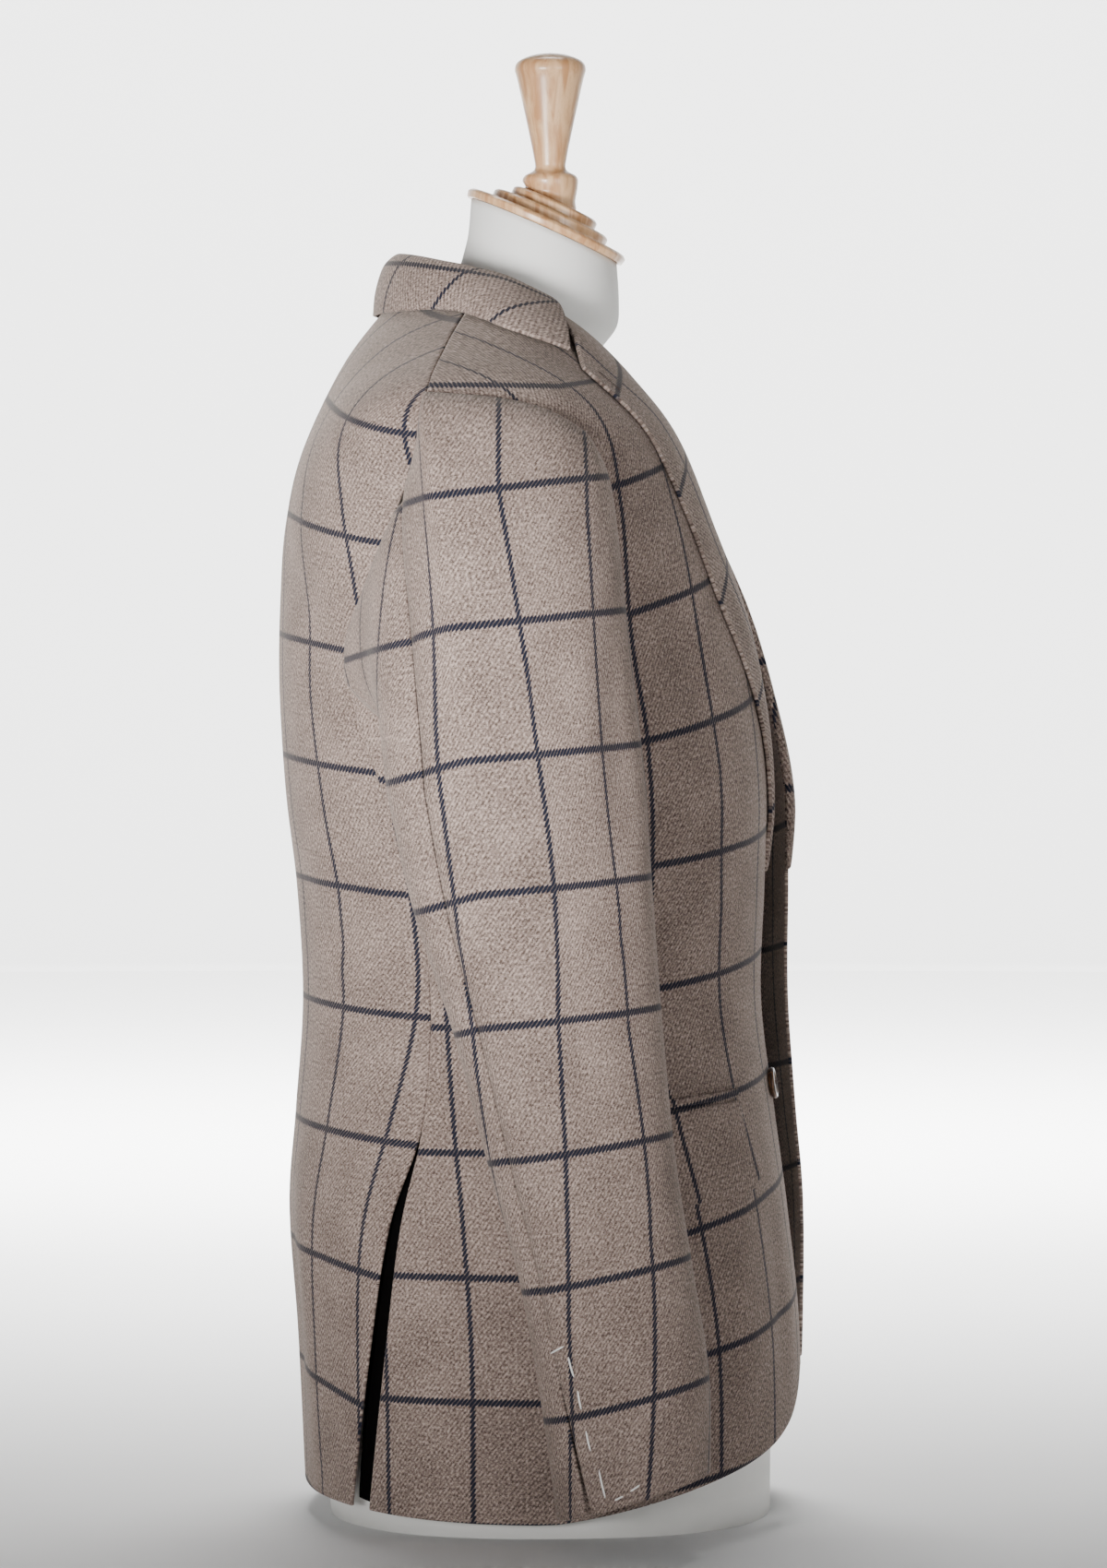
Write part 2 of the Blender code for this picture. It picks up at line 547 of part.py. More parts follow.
def turned_mesh(name, profile):
    """Mesh of a profile turned about its upright axis."""
    line = bpy.data.meshes.new(name + "_profile")
    line.from_pydata([(radius, 0, height) for radius, height in profile],
                     [(i, i + 1) for i in range(len(profile) - 1)], [])
    guide = bpy.data.objects.new(name + "_profile", line)
    bpy.context.scene.collection.objects.link(guide)
    screw = guide.modifiers.new("turn", "SCREW")
    screw.axis = "Z"
    screw.steps = TURNED_STEPS
    screw.render_steps = TURNED_STEPS
    screw.use_merge_vertices = True
    screw.merge_threshold = 0.00001
    mesh = bpy.data.meshes.new_from_object(guide.evaluated_get(bpy.context.evaluated_depsgraph_get()))
    mesh.name = name
    bpy.data.objects.remove(guide, do_unlink=True)
    return mesh


def make_button():
    """Button on the right front, seated flat on the cloth behind the edge."""
    side = SIDES["right"]
    turn = turn_at_gap(BUTTON_RING, EDGE_HALF_GAP_BREAK + BUTTON_INSET)
    normal = Vector(body_normal(side, turn, BUTTON_RING))
    button = finish_object("button", turned_mesh("button", BUTTON_PROFILE), HORN_COLOUR, 0.35)
    button.location = Vector(body_point(side, turn, BUTTON_RING)) + normal * BUTTON_SEAT
    button.rotation_euler = normal.to_track_quat("Z", "Y").to_euler()


def form_points():
    """Rings of the form, from the top of its neck to its flat base, each a closed run of points."""
    turn = np.linspace(0, 1, FORM_TURNS + 1)
    rings = []
    for height, y_middle, half_width, half_depth, tilt in NECK_RINGS:
        forward = half_depth * np.cos(turn * np.pi)
        rings.append(np.stack((-half_width * np.sin(turn * np.pi), y_middle + forward * math.cos(tilt),
                               height + forward * math.sin(tilt)), axis=-1))
    side = SIDES["right"]
    foot = body_point(side, turn, float(HEM_RING))[:, 2]
    for ring in FORM_RINGS:
        ease = np.interp(ring, FORM_EASE[:, 0], FORM_EASE[:, 1])
        row = np.full_like(turn, ring)
        front = FORM_FRONT_EASE * np.clip((turn - SHOULDER_TURN) / FORM_FRONT_FADE, 0, 1)
        points = body_point(side, turn, row) - body_normal(side, turn, row) * (ease + front)[:, None]
        settle = (ring / HEM_RING) ** FORM_SETTLE_POWER
        points[:, 2] = points[:, 2] * (1 - settle) + (points[:, 2] - foot) * settle
        if ring == HEM_RING:
            points[:, 2] = 0
        rings.append(points)
    half = np.stack(rings)
    half[:, (0, -1), 0] = 0
    other = half[:, -1::-1] * (-1, 1, 1)
    return np.concatenate((half, other[:, 1:]), axis=1)


def make_form_torso():
    """Covered torso and neck in one closed body: a grid rolled up, welded, and closed at both ends."""
    points = form_points()
    rows, columns = points.shape[:2]
    shape = bmesh.new()
    bmesh.ops.create_grid(shape, x_segments=columns - 1, y_segments=rows - 1, size=1)
    shape.verts.ensure_lookup_table()
    for vertex, point in zip(shape.verts, points.reshape(-1, 3)):
        vertex.co = point
    bmesh.ops.remove_doubles(shape, verts=shape.verts, dist=0.00001)
    bmesh.ops.holes_fill(shape, edges=[edge for edge in shape.edges if edge.is_boundary], sides=0)
    face_outwards(shape)
    mesh = bpy.data.meshes.new("form_torso")
    shape.to_mesh(mesh)
    shape.free()
    finish_object("form_torso", mesh, COVER_COLOUR, 0.8)


def make_neck_cap():
    """Stepped wooden cap on the tilted top of the neck."""
    cap = finish_object("neck_cap", turned_mesh("neck_cap", CAP_PROFILE), WOOD_COLOUR, 0.35)
    cap.location = CAP_BASE
    cap.rotation_euler = (CAP_TILT, 0, 0)


def make_finial():
    """Upright wooden finial, its foot cut to the slope of the cap."""
    mesh = turned_mesh("finial", FINIAL_PROFILE)
    cap_height = max(height for radius, height in CAP_PROFILE)
    axis = Matrix.Rotation(CAP_TILT, 3, "X") @ Vector((0, 0, 1))
    seat = Vector(CAP_BASE) + axis * (cap_height + SEAM_GAP)
    for vertex in mesh.vertices:
        if abs(vertex.co.z - FINIAL_FOOT) < 0.0001:
            vertex.co.z = seat.z - (vertex.co.y - seat.y) * axis.y / axis.z
    finish_object("finial", mesh, WOOD_COLOUR, 0.35)


for label, side in SIDES.items():
    make_back(label, side)
    make_side(label, side)
    make_vent_underlap(label, side)
    make_front(label, side)
    make_lapel(label, side)
    make_sleeve(label, side)
    make_pocket(label, side)
make_collar()
make_button()
make_form_torso()
make_neck_cap()
make_finial()
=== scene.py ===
"""Tweed blazer on a dress form, finished for the render.

The cloth follows the same body surface as the solids: a stack of rings from the neck seam (0) to the
hem (12), read at a turn from the centre back (0) to the centre front (1). Panels are fine walls on that
surface with soft creases. Sizes are in metres, the wearer faces -Y and the wearer's left is +X.
"""

import bpy
import numpy as np
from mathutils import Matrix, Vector


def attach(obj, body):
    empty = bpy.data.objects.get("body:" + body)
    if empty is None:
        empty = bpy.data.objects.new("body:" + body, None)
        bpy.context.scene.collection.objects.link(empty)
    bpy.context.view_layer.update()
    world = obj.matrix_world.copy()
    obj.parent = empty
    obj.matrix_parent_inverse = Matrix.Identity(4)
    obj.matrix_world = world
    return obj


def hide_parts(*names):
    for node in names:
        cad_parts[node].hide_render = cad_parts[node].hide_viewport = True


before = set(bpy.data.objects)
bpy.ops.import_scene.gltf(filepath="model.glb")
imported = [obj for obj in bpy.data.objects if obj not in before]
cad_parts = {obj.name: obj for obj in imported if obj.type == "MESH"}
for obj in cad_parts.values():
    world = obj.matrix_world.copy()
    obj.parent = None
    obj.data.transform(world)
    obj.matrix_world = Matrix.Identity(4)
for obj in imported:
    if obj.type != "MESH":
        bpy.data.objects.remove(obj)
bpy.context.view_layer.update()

bl_info = {
    "name": "Tweed blazer on a dress form",
    "version": (1, 0, 0),
    "blender": (4, 5, 0),
    "location": "View3D > Sidebar > Blazer",
    "description": "Builds the finished cloth, trim, form and stage of a blazer on a dress form",
    "category": "Add Mesh",
}

SIDES = {"right": -1, "left": 1}
UP = np.array((0.0, 0.0, 1.0))

# Body surface, one row a ring
RING_COLUMNS = ("z_back", "y_back", "z_side", "y_side", "half_width",
                "z_front", "y_front_right", "y_front_left", "power")
BODY_RINGS = np.array((
    (0.757, 0.1000, 0.752, 0.040, 0.078, 0.738, -0.0300, -0.030, 2.0),
    (0.717, 0.1297, 0.724, 0.050, 0.150, 0.700, -0.0580, -0.058, 2.1),
    (0.662, 0.1552, 0.690, 0.055, 0.213, 0.665, -0.0800, -0.080, 2.3),
    (0.618, 0.1655, 0.630, 0.050, 0.206, 0.615, -0.1000, -0.102, 2.4),
    (0.576, 0.1690, 0.535, 0.040, 0.186, 0.560, -0.1210, -0.126, 2.4),
    (0.518, 0.1700, 0.480, 0.030, 0.181, 0.505, -0.1320, -0.141, 2.4),
    (0.450, 0.1660, 0.430, 0.022, 0.175, 0.450, -0.1365, -0.151, 2.4),
    (0.390, 0.1590, 0.380, 0.015, 0.170, 0.390, -0.1345, -0.151, 2.4),
    (0.320, 0.1554, 0.320, 0.012, 0.167, 0.320, -0.1325, -0.151, 2.4),
    (0.250, 0.1600, 0.250, 0.010, 0.175, 0.250, -0.1410, -0.156, 2.4),
    (0.190, 0.1640, 0.190, 0.006, 0.183, 0.190, -0.1490, -0.161, 2.4),
    (0.110, 0.1585, 0.110, 0.002, 0.188, 0.110, -0.1570, -0.161, 2.4),
    (0.019, 0.1540, 0.010, 0.000, 0.190, 0.010, -0.1570, -0.158, 2.4),
))
HEM_RING = 12
STEP_TURN = 0.002
STEP_RING = 0.01

# Armhole and side seams: ring, then the turn of each edge
ARMHOLE = np.array((
    (1.9, 0.450, 0.450), (2.0, 0.447, 0.560), (2.2, 0.445, 0.640), (2.5, 0.440, 0.668),
    (3.0, 0.409, 0.668), (3.5, 0.352, 0.652), (4.0, 0.302, 0.633), (4.5, 0.290, 0.605),
))
ARMHOLE_TOP = 1.9
ARMHOLE_ROUND = 0.6
ARMHOLE_STRAIGHT = (2.56, 4.44)
SHOULDER_LAST = 1.85
UNDERARM_RING = 4.5
UNDERARM_DROP = 0.5
UNDERARM_ROUND = 0.8
SIDE_BACK_SEAM = np.array((
    (4.5, 0.290, 0.290), (5.5, 0.335, 0.335), (7.0, 0.375, 0.375), (8.0, 0.3835, 0.3835),
    (9.0, 0.3735, 0.3735), (10.0, 0.325, 0.342), (11.0, 0.276, 0.304), (12.0, 0.227, 0.264),
))
FRONT_SEAM_TURN = 0.605
VENT_UNDERLAP_TURN = 0.055
VENT_UNDERLAP_TUCK = 0.006
VENT_UNDERLAP_RINGS = (9.15, 11.96)
VENT_UNDERLAP_INSETS = (0.0034, 0.0085)

# Front edge, lower corner and lapel
BREAK_RING = 7
EDGE_RINGS = (0, BREAK_RING, HEM_RING)
EDGE_HALF_GAPS = (0.066, 0.020, 0.030)
CORNER_START_TURN = 0.50
CORNER_END_TURN = 0.955
CORNER_RISE_RINGS = 0.54
CORNER_POWER = 1.05
CORNER_ROUND_RINGS = 0.25
CORNER_ROUND_POWER = 10
LAPEL_END_RING = 6.85
LAPEL_TOP = np.array(((0.708, 0.06), (0.706, 0.30), (0.706, 0.58), (0.705, 0.88), (0.703, 1.20)))
LAPEL_EDGE = np.array((
    (1.2, 0.130), (1.5, 0.140), (2.3, 0.134), (2.9, 0.119), (3.75, 0.100), (4.4, 0.081),
    (5.05, 0.061), (5.5, 0.047), (6.4, 0.032), (6.85, 0.0265),
))
LAPEL_ROW_POWER = 1.15
LAPEL_BULGE = 0.003
LAPEL_BULGE_END = 0.9
LAPEL_BULGE_FADE = 0.6
LAPEL_LIFT_POWER = 0.6
LAPEL_LINE_SHARE = 0.5
LAPEL_LEVEL = 0.03
ROLL_STEP_TURN = 0.004
ROLL_DEGREES = (-80, 75)
ROLL_COLUMNS = 7
LAPEL_TOP_FADE = 0.16
LAPEL_END_FADE = 0.10
LAY_GAP = 0.0011

# Collar stations: stand turn, stand height, lean, fall turn, fall ring
COLLAR = np.array((
    (0.00, 0.0290, -0.0030, 0.000, 0.30), (0.22, 0.0280, -0.0025, 0.220, 0.28),
    (0.38, 0.0250, -0.0010, 0.390, 0.26), (0.47, 0.0220, 0.0010, 0.490, 0.42),
    (0.55, 0.0180, 0.0035, 0.555, 0.64), (0.62, 0.0125, 0.0060, 0.620, 0.78),
    (0.69, 0.0075, 0.0080, 0.692, 0.88),
))
COLLAR_LIFT = 0.0008
COLLAR_STAND_SHARE = (0.75, 0.75, 0.80)
COLLAR_STAND_IN = 0.0012
COLLAR_FOLD_OUT = 0.0010
COLLAR_ROLL_OUT = 0.0062
COLLAR_ROLL_SHARE = 0.22
COLLAR_ROLL_UP = 0.0010
COLLAR_FALL_SHARE = 0.55
COLLAR_FALL_OUT = 0.0015
COLLAR_FALL_UP = 0.0012
COLLAR_SHEAR_LENGTH = 0.10
COLLAR_LINE = 0.047
COLLAR_LEVEL = 0.011

# Sleeve sections: z, y back, y front, x middle, half thickness, turn of the hindarm seam in degrees
SLEEVE_SECTIONS = np.array((
    (0.455, 0.0975, -0.0575, 0.2370, 0.0500, -47), (0.385, 0.0820, -0.0620, 0.2365, 0.0490, -48),
    (0.311, 0.0580, -0.0675, 0.2365, 0.0475, -52), (0.235, 0.0380, -0.0750, 0.2370, 0.0465, -53),
    (0.165, 0.0190, -0.0860, 0.2370, 0.0455, -54), (0.100, 0.0060, -0.0950, 0.2370, 0.0440, -47),
    (0.034, -0.0040, -0.0960, 0.2370, 0.0430, -36),
))
CUFF_SLANT = -0.31
CUFF_SLANT_START = 4
SLEEVE_FRONT_TURN = 125
HINDARM_RING = 3.0
HINDARM_DIP = 0.0028
HINDARM_WIDE = 0.0065
HINDARM_FADE = 0.05
SEAM_GAP = 0.0003
CAP_LEAVE_RISE = 0.10
CAP_LEAVE_SHARE = 0.8
CAP_ARRIVE = np.array((0.0, -0.10, -1.0))
CAP_WRAP_DEGREES = 60
LOOP_FOOT = 4.45
LOOP_COUNTS = (22, 20, 40, 28)
SLEEVE_CAP_OUT = 0.75
SLEEVE_CAP_DOWN = 0.95

# Slit at the cuff
SLIT_TOP = 0.118
SLIT_FOOT = 0.020
SLIT_HALF = 0.0021
SLIT_SPREAD = 0.025

# Pocket flap and jetting on the front
FLAP_TURNS = (0.470, 0.795)
FLAP_TOP_RINGS = (8.95, 8.80)
FLAP_SLANT = 0.030
FLAP_RINGS_DEEP = 0.95
FLAP_CORNER = 0.25
FLAP_CORNER_POWER = 8
FLAP_FLARE = 0.0012
FLAP_WAVE = 0.0007
FLAP_WAVE_RATE = 9
POCKET_GAP_RINGS = 0.01
POCKET_CREASE_SHARE = 0.6
JETTING_RINGS_DEEP = 0.085

# Button on the right front
BUTTON_INSET = 0.041
BUTTON_RING = 8.73
BUTTON_SEAT = 0.0004

# Soft creases: side the row is for (0 both), start point, end point, width, depth (a trough is below 0)
BACK_CREASES = np.array((
    (0, 0.070, 0.160, 0.600, 0.150, 0.125, 0.520, 0.020, -0.0022),
    (0, 0.110, 0.150, 0.630, 0.165, 0.115, 0.560, 0.013, 0.0016),
    (0, 0.150, 0.105, 0.455, 0.120, 0.135, 0.370, 0.016, -0.0020),
    (-1, 0.060, 0.158, 0.400, 0.130, 0.125, 0.345, 0.014, -0.0016),
    (-1, 0.075, 0.156, 0.365, 0.150, 0.100, 0.325, 0.010, 0.0014),
    (1, 0.050, 0.158, 0.385, 0.125, 0.125, 0.335, 0.015, -0.0018),
    (1, 0.080, 0.156, 0.350, 0.150, 0.100, 0.310, 0.011, 0.0013),
    (-1, 0.085, 0.155, 0.235, 0.095, 0.145, 0.030, 0.020, 0.0024),
    (-1, 0.045, 0.160, 0.220, 0.050, 0.153, 0.030, 0.016, -0.0020),
    (1, 0.080, 0.155, 0.250, 0.088, 0.148, 0.030, 0.022, 0.0022),
    (1, 0.038, 0.160, 0.200, 0.046, 0.153, 0.030, 0.017, -0.0018),
))
SIDE_CREASES = np.array((
    (-1, 0.168, 0.070, 0.330, 0.186, 0.045, 0.060, 0.016, -0.0022),
    (-1, 0.170, 0.030, 0.290, 0.190, 0.015, 0.040, 0.014, 0.0018),
    (1, 0.168, 0.065, 0.340, 0.186, 0.040, 0.070, 0.017, -0.0020),
    (1, 0.170, 0.025, 0.280, 0.190, 0.012, 0.040, 0.013, 0.0018),
    (0, 0.165, 0.060, 0.400, 0.160, -0.030, 0.350, 0.012, -0.0015),
))
FRONT_CREASES = np.array((
    (0, 0.165, -0.060, 0.590, 0.110, -0.110, 0.470, 0.020, -0.0022),
    (0, 0.160, -0.050, 0.480, 0.090, -0.118, 0.395, 0.013, -0.0018),
    (-1, 0.155, -0.055, 0.400, 0.075, -0.122, 0.370, 0.010, 0.0015),
    (1, 0.155, -0.060, 0.410, 0.070, -0.138, 0.375, 0.011, 0.0015),
    (-1, 0.130, -0.115, 0.240, 0.140, -0.120, 0.040, 0.018, 0.0024),
    (-1, 0.090, -0.138, 0.220, 0.095, -0.148, 0.060, 0.014, -0.0018),
    (1, 0.125, -0.125, 0.250, 0.135, -0.125, 0.040, 0.019, 0.0022),
    (1, 0.085, -0.148, 0.230, 0.090, -0.150, 0.060, 0.015, -0.0018),
))
SLEEVE_CREASES = np.array((
    (0, 0.262, -0.050, 0.600, 0.275, -0.045, 0.400, 0.015, -0.0036),
    (-1, 0.272, -0.024, 0.650, 0.286, -0.020, 0.440, 0.012, 0.0024),
    (-1, 0.262, 0.020, 0.672, 0.282, 0.012, 0.600, 0.008, -0.0016),
    (-1, 0.262, 0.002, 0.676, 0.282, -0.002, 0.615, 0.007, 0.0014),
    (1, 0.262, 0.014, 0.674, 0.282, 0.008, 0.605, 0.008, -0.0016),
    (1, 0.272, -0.028, 0.645, 0.286, -0.022, 0.450, 0.013, 0.0022),
    (-1, 0.286, 0.002, 0.420, 0.284, -0.030, 0.230, 0.013, -0.0026),
    (1, 0.286, -0.004, 0.410, 0.284, -0.034, 0.240, 0.014, -0.0024),
    (0, 0.255, -0.068, 0.560, 0.262, -0.062, 0.360, 0.010, 0.0020),
    (0, 0.245, 0.090, 0.590, 0.270, 0.070, 0.450, 0.013, -0.0032),
    (-1, 0.262, 0.060, 0.605, 0.283, 0.048, 0.500, 0.011, 0.0020),
    (1, 0.260, 0.064, 0.600, 0.282, 0.045, 0.490, 0.012, 0.0020),
    (-1, 0.278, 0.045, 0.395, 0.268, -0.050, 0.365, 0.010, -0.0030),
    (-1, 0.272, 0.062, 0.372, 0.278, -0.025, 0.342, 0.008, 0.0020),
    (-1, 0.262, 0.050, 0.318, 0.272, -0.050, 0.300, 0.010, -0.0022),
    (-1, 0.255, -0.064, 0.335, 0.278, -0.012, 0.285, 0.009, -0.0022),
    (1, 0.276, 0.048, 0.400, 0.266, -0.052, 0.372, 0.011, -0.0030),
    (1, 0.270, 0.060, 0.360, 0.276, -0.028, 0.330, 0.009, 0.0022),
    (1, 0.258, -0.066, 0.320, 0.278, -0.015, 0.275, 0.010, -0.0022),
    (-1, 0.272, -0.010, 0.215, 0.268, -0.075, 0.180, 0.012, -0.0018),
    (-1, 0.266, 0.010, 0.160, 0.276, -0.050, 0.115, 0.011, 0.0015),
    (1, 0.270, -0.012, 0.230, 0.266, -0.078, 0.190, 0.013, -0.0018),
    (0, 0.205, 0.030, 0.400, 0.200, -0.030, 0.330, 0.012, -0.0022),
))

# Check of the cloth, and how each panel's grain lies
CHECK_WIDE = 0.058
CHECK_TALL = 0.0752
CHECK_LOW_LINE = 0.098
BACK_DROP = np.array((
    (0.02, 0.045), (0.075, 0.038), (0.155, 0.024), (0.23, 0.013),
    (0.40, 0.011), (0.55, 0.018), (0.66, 0.030), (0.76, 0.024),
))
BACK_SPREAD = np.array(((0.02, 1.16), (0.14, 1.13), (0.26, 1.0), (0.76, 1.0)))
YOKE_START = 0.62
BACK_STRETCH = 0.45
FRONT_STRETCH = 2.0
SIDE_LINE = 0.051
SIDE_DROP = 0.014
FRONT_LINE = np.array(((2.0, 0.134), (5.0, 0.130), (8.0, 0.120), (11.0, 0.112), (12.0, 0.112)))
FRONT_RISE = np.array((
    (0.02, 0.026), (0.05, 0.028), (0.13, 0.034), (0.21, 0.033), (0.28, 0.022), (0.35, 0.021),
    (0.42, 0.021), (0.49, 0.030), (0.57, 0.036), (0.66, 0.030), (0.74, 0.0),
))
FRONT_LIFT = 0.008
FRONT_RISE_START = 0.64
# Sleeve rows: z, y of the main line, line spacing towards the front and the back, slope of the level lines
SLEEVE_GRAIN = np.array((
    (0.050, -0.0128, 0.052, 0.056, 0.27), (0.083, -0.0126, 0.052, 0.056, 0.27),
    (0.163, -0.0110, 0.052, 0.057, 0.22), (0.239, -0.0093, 0.050, 0.058, 0.16),
    (0.317, -0.0055, 0.044, 0.059, 0.11), (0.378, -0.0044, 0.040, 0.062, 0.10),
    (0.477, 0.0066, 0.041, 0.062, 0.09), (0.555, 0.0175, 0.048, 0.060, 0.10),
    (0.635, 0.0306, 0.057, 0.058, 0.12),
))
SLEEVE_HIND_START = 0.040
SLEEVE_HIND_DROP = 0.22
SLEEVE_HIND_EASE = 0.012
SLEEVE_CHECK_Z = 0.635
SLEEVE_CHECK_LINE = 0.6244
SLEEVE_CHECK_SCALE = 0.9555

# Cloth wall, its rim and the shape of a crease
CLOTH_THICK = 0.0022
RIM_ROUND = 0.24
EDGE_INSET = 0.0006
SEAM_DIP = 0.0003
EDGE_STEP = 0.28
RIM_DEGREES = (40, 90, 140)
CREASE_END = 0.02
CREASE_FADE = 0.7
ARC_SAMPLES = 25

# Rows and columns of each grid
BACK_GRID = (150, 44)
SIDE_GRID = (110, 28)
UNDERLAP_GRID = (50, 14)
FRONT_SHOULDER_ROWS = 24
FRONT_ARMHOLE_ROWS = 22
FRONT_GRID = (92, 46)
LAPEL_GRID = (72, 24)
COLLAR_GRID = (60, 40)
SLEEVE_ROWS = 112
CAP_ROWS = 33
FLAP_GRID = (22, 40)
JETTING_ROWS = 5

# Finishes, in linear colour
TWEED_BASE = (0.180, 0.134, 0.114, 1.0)
TWEED_LIGHT = (0.410, 0.318, 0.272, 1.0)
TWEED_DARK = (0.055, 0.037, 0.030, 1.0)
TWEED_FLECK = (0.560, 0.465, 0.410, 1.0)
TWEED_NAVY = (0.009, 0.011, 0.022, 1.0)
TWILL_PITCH = 0.0021
TWILL_STEEPNESS = 1.25
TWILL_STRETCH = 1.6
SWAY_SCALE = 160.0
SWAY_LENGTH = 0.0016
YARN_SCALE = 1500.0
HEATHER_SCALE = 540.0
CLOUD_SCALE = 28.0
RIB_SHARE = 0.16
HEATHER_SHARE = 1.05
CLOUD_SHARE = 0.22
LIGHT_OFFSET = 0.085
LIGHT_RANGE = (0.60, 0.88)
DARK_RANGE = (0.62, 0.42)
DARK_SHARE = 0.85
FLECK_RANGE = (0.57, 0.68)
FLECK_SHARE = 0.60
LINE_TOOTH = 0.0011
LINE_SOFT = 0.0004
DASH_RANGE = (1.28, 0.80)
DASH_SHARE = 0.30
YARN_RELIEF = 0.7
LINE_WIDE = 0.0029
LINE_TALL = 0.0040
COVER_WHITE = (0.800, 0.790, 0.760, 1.0)
COVER_SCALE = 1400.0
WOOD_LIGHT = (0.720, 0.450, 0.240, 1.0)
WOOD_DARK = (0.470, 0.230, 0.095, 1.0)
GRAIN_LONG = 0.07
GRAIN_SCALE = 190.0
GRAIN_RANGE = (0.35, 0.68)
RAY_LONG = 0.20
RAY_SCALE = 1500.0
RAY_RANGE = (0.58, 0.70)
RAY_SHARE = 0.35
HORN_LIGHT = (0.170, 0.088, 0.045, 1.0)
HORN_DARK = (0.030, 0.016, 0.010, 1.0)
STREAK_LONG = 0.25
STREAK_SCALE = 260.0
STREAK_RANGE = (0.40, 0.66)
BASTING_WHITE = (0.860, 0.850, 0.820, 1.0)
SILK_BROWN = (0.060, 0.034, 0.022, 1.0)
# Near-black painted shade on the vent underlaps, for the deep shade inside the vent
VENT_PAINTED_SHADE = (0.003, 0.0027, 0.0027, 1.0)
FLOOR_PALE = (0.780, 0.780, 0.776, 1.0)

# Basting at the cuff, on the outside of the sleeve: start y and z, end y and z
BASTING = np.array((
    (-0.0005, 0.1220, -0.0082, 0.1270), (-0.0109, 0.1208, -0.0142, 0.1088),
    (-0.0164, 0.1012, -0.0185, 0.0897), (-0.0213, 0.0772, -0.0240, 0.0652),
    (-0.0289, 0.0543, -0.0327, 0.0374), (-0.0382, 0.0363, -0.0431, 0.0390),
    (-0.0474, 0.0418, -0.0529, 0.0456),
))
BASTING_RADIUS = 0.00055
BASTING_ARCH = (0.3, 0.9)
BASTING_STEPS = 9
THREAD_END_GIRTH = 0.04
THREAD_END_POWER = 6
OVAL_END_SINE = 0.98
LAPEL_HOLE_GRID = (200, 100)
# On the right lapel the dark silk buttonhole also stands in as painted shade for the dark gap under the
# lifted lapel edge
LAPEL_HOLE = ((0.86, 0.060), (0.86, 0.115))
FRONT_HOLE_INSETS = (0.034, 0.057)
HOLE_STITCHES = 46
HOLE_STITCH_STEPS = 5
HOLE_END_STRETCH = 1.35
HOLE_SLOT_SHARE = 0.3
HOLE_LIFT_SHARE = 0.4
HOLE_HALF_WIDE = 0.0007
HOLE_STITCH_LONG = 0.0013
HOLE_RADIUS = 0.00032
BUTTON_PROFILE = np.array((
    (0.0, 0.0030), (0.0064, 0.0030), (0.0076, 0.0040), (0.0092, 0.0038), (0.0100, 0.0024), (0.0092, 0.0006),
    (0.0080, 0.0), (0.0, 0.0),
))
BUTTON_ROWS = 150
BUTTON_FACE = 0.0025
BUTTON_HOLE_DEEP = 0.0018
BUTTON_HOLE_EDGE = (1.6, 1.3)
BUTTON_THREAD_STEPS = 9
BUTTON_HOLE_PLACE = 0.0016
BUTTON_HOLE_RADIUS = 0.0009
BUTTON_THREAD_RADIUS = 0.0006
BUTTON_THREAD_TOP = 0.0034
BUTTON_THREAD_DIP = 0.0014

# Dress form
FORM_EASE = np.array(((0.0, 0.0065), (0.6, 0.0031), (1.9, 0.0033), (2.6, 0.0070), (4.0, 0.0120),
                      (8.0, 0.0150), (12.0, 0.0160)))
FORM_FRONT_EASE = 0.0030
FORM_RINGS = np.array((0.25, 0.6, 1, 1.5, 1.9, 2.3, 3, 4, 5, 6, 7, 8, 9, 10, 11, 12))
FORM_SETTLE_POWER = 5
FORM_FRONT_TURNS = (0.45, 0.12)
FORM_STEPS_A_RING = 6
TURNED_COLUMNS = 96
AXIS_RADIUS = 0.0004
CAP_PROFILE_ROWS = 260
FINIAL_ROWS = 150
CAP_TILT = 0.42
CAP_BASE = np.array((0.0, 0.0039, 0.8013))
CAP_PROFILE = np.array((
    (0.0, 0.0190), (0.0265, 0.0190), (0.0286, 0.0175), (0.0286, 0.0130), (0.0370, 0.0125), (0.0388, 0.0110),
    (0.0388, 0.0065), (0.0520, 0.0060), (0.0540, 0.0040), (0.0530, 0.0), (0.0, 0.0),
))
NECK_RINGS = np.array(((0.8010, 0.0039, 0.0520, 0.0500, 0.42), (0.7750, 0.0050, 0.0525, 0.0510, 0.34),
                       (0.7530, 0.0120, 0.0550, 0.0550, 0.22)))
FINIAL_FOOT = 0.8270
FINIAL_FOOT_TOP = 0.8325
FINIAL_PROFILE = np.array((
    (0.0, 0.9130), (0.0110, 0.9115), (0.0195, 0.9080), (0.0223, 0.9030), (0.0205, 0.8950), (0.0150, 0.8700),
    (0.0105, 0.8480), (0.0100, 0.8400), (0.0160, 0.8360), (0.0175, 0.8325), (0.0158, 0.8290),
    (0.0150, 0.8270), (0.0, 0.8270),
))

# Camera, floor and lights
CAMERA_PLACE = (-4.5, -0.002, 0.553)
CAMERA_AIM = (0.0, -0.002, 0.454)
CAMERA_LENS = 164.3
CAMERA_SENSOR = 36.0
FLOOR_RADIUS = 7.0
FLOOR_BEND = 1.5
FLOOR_RISE = 6.0
FLOOR_TURNS = 96
FLOOR_BEND_ROWS = 17
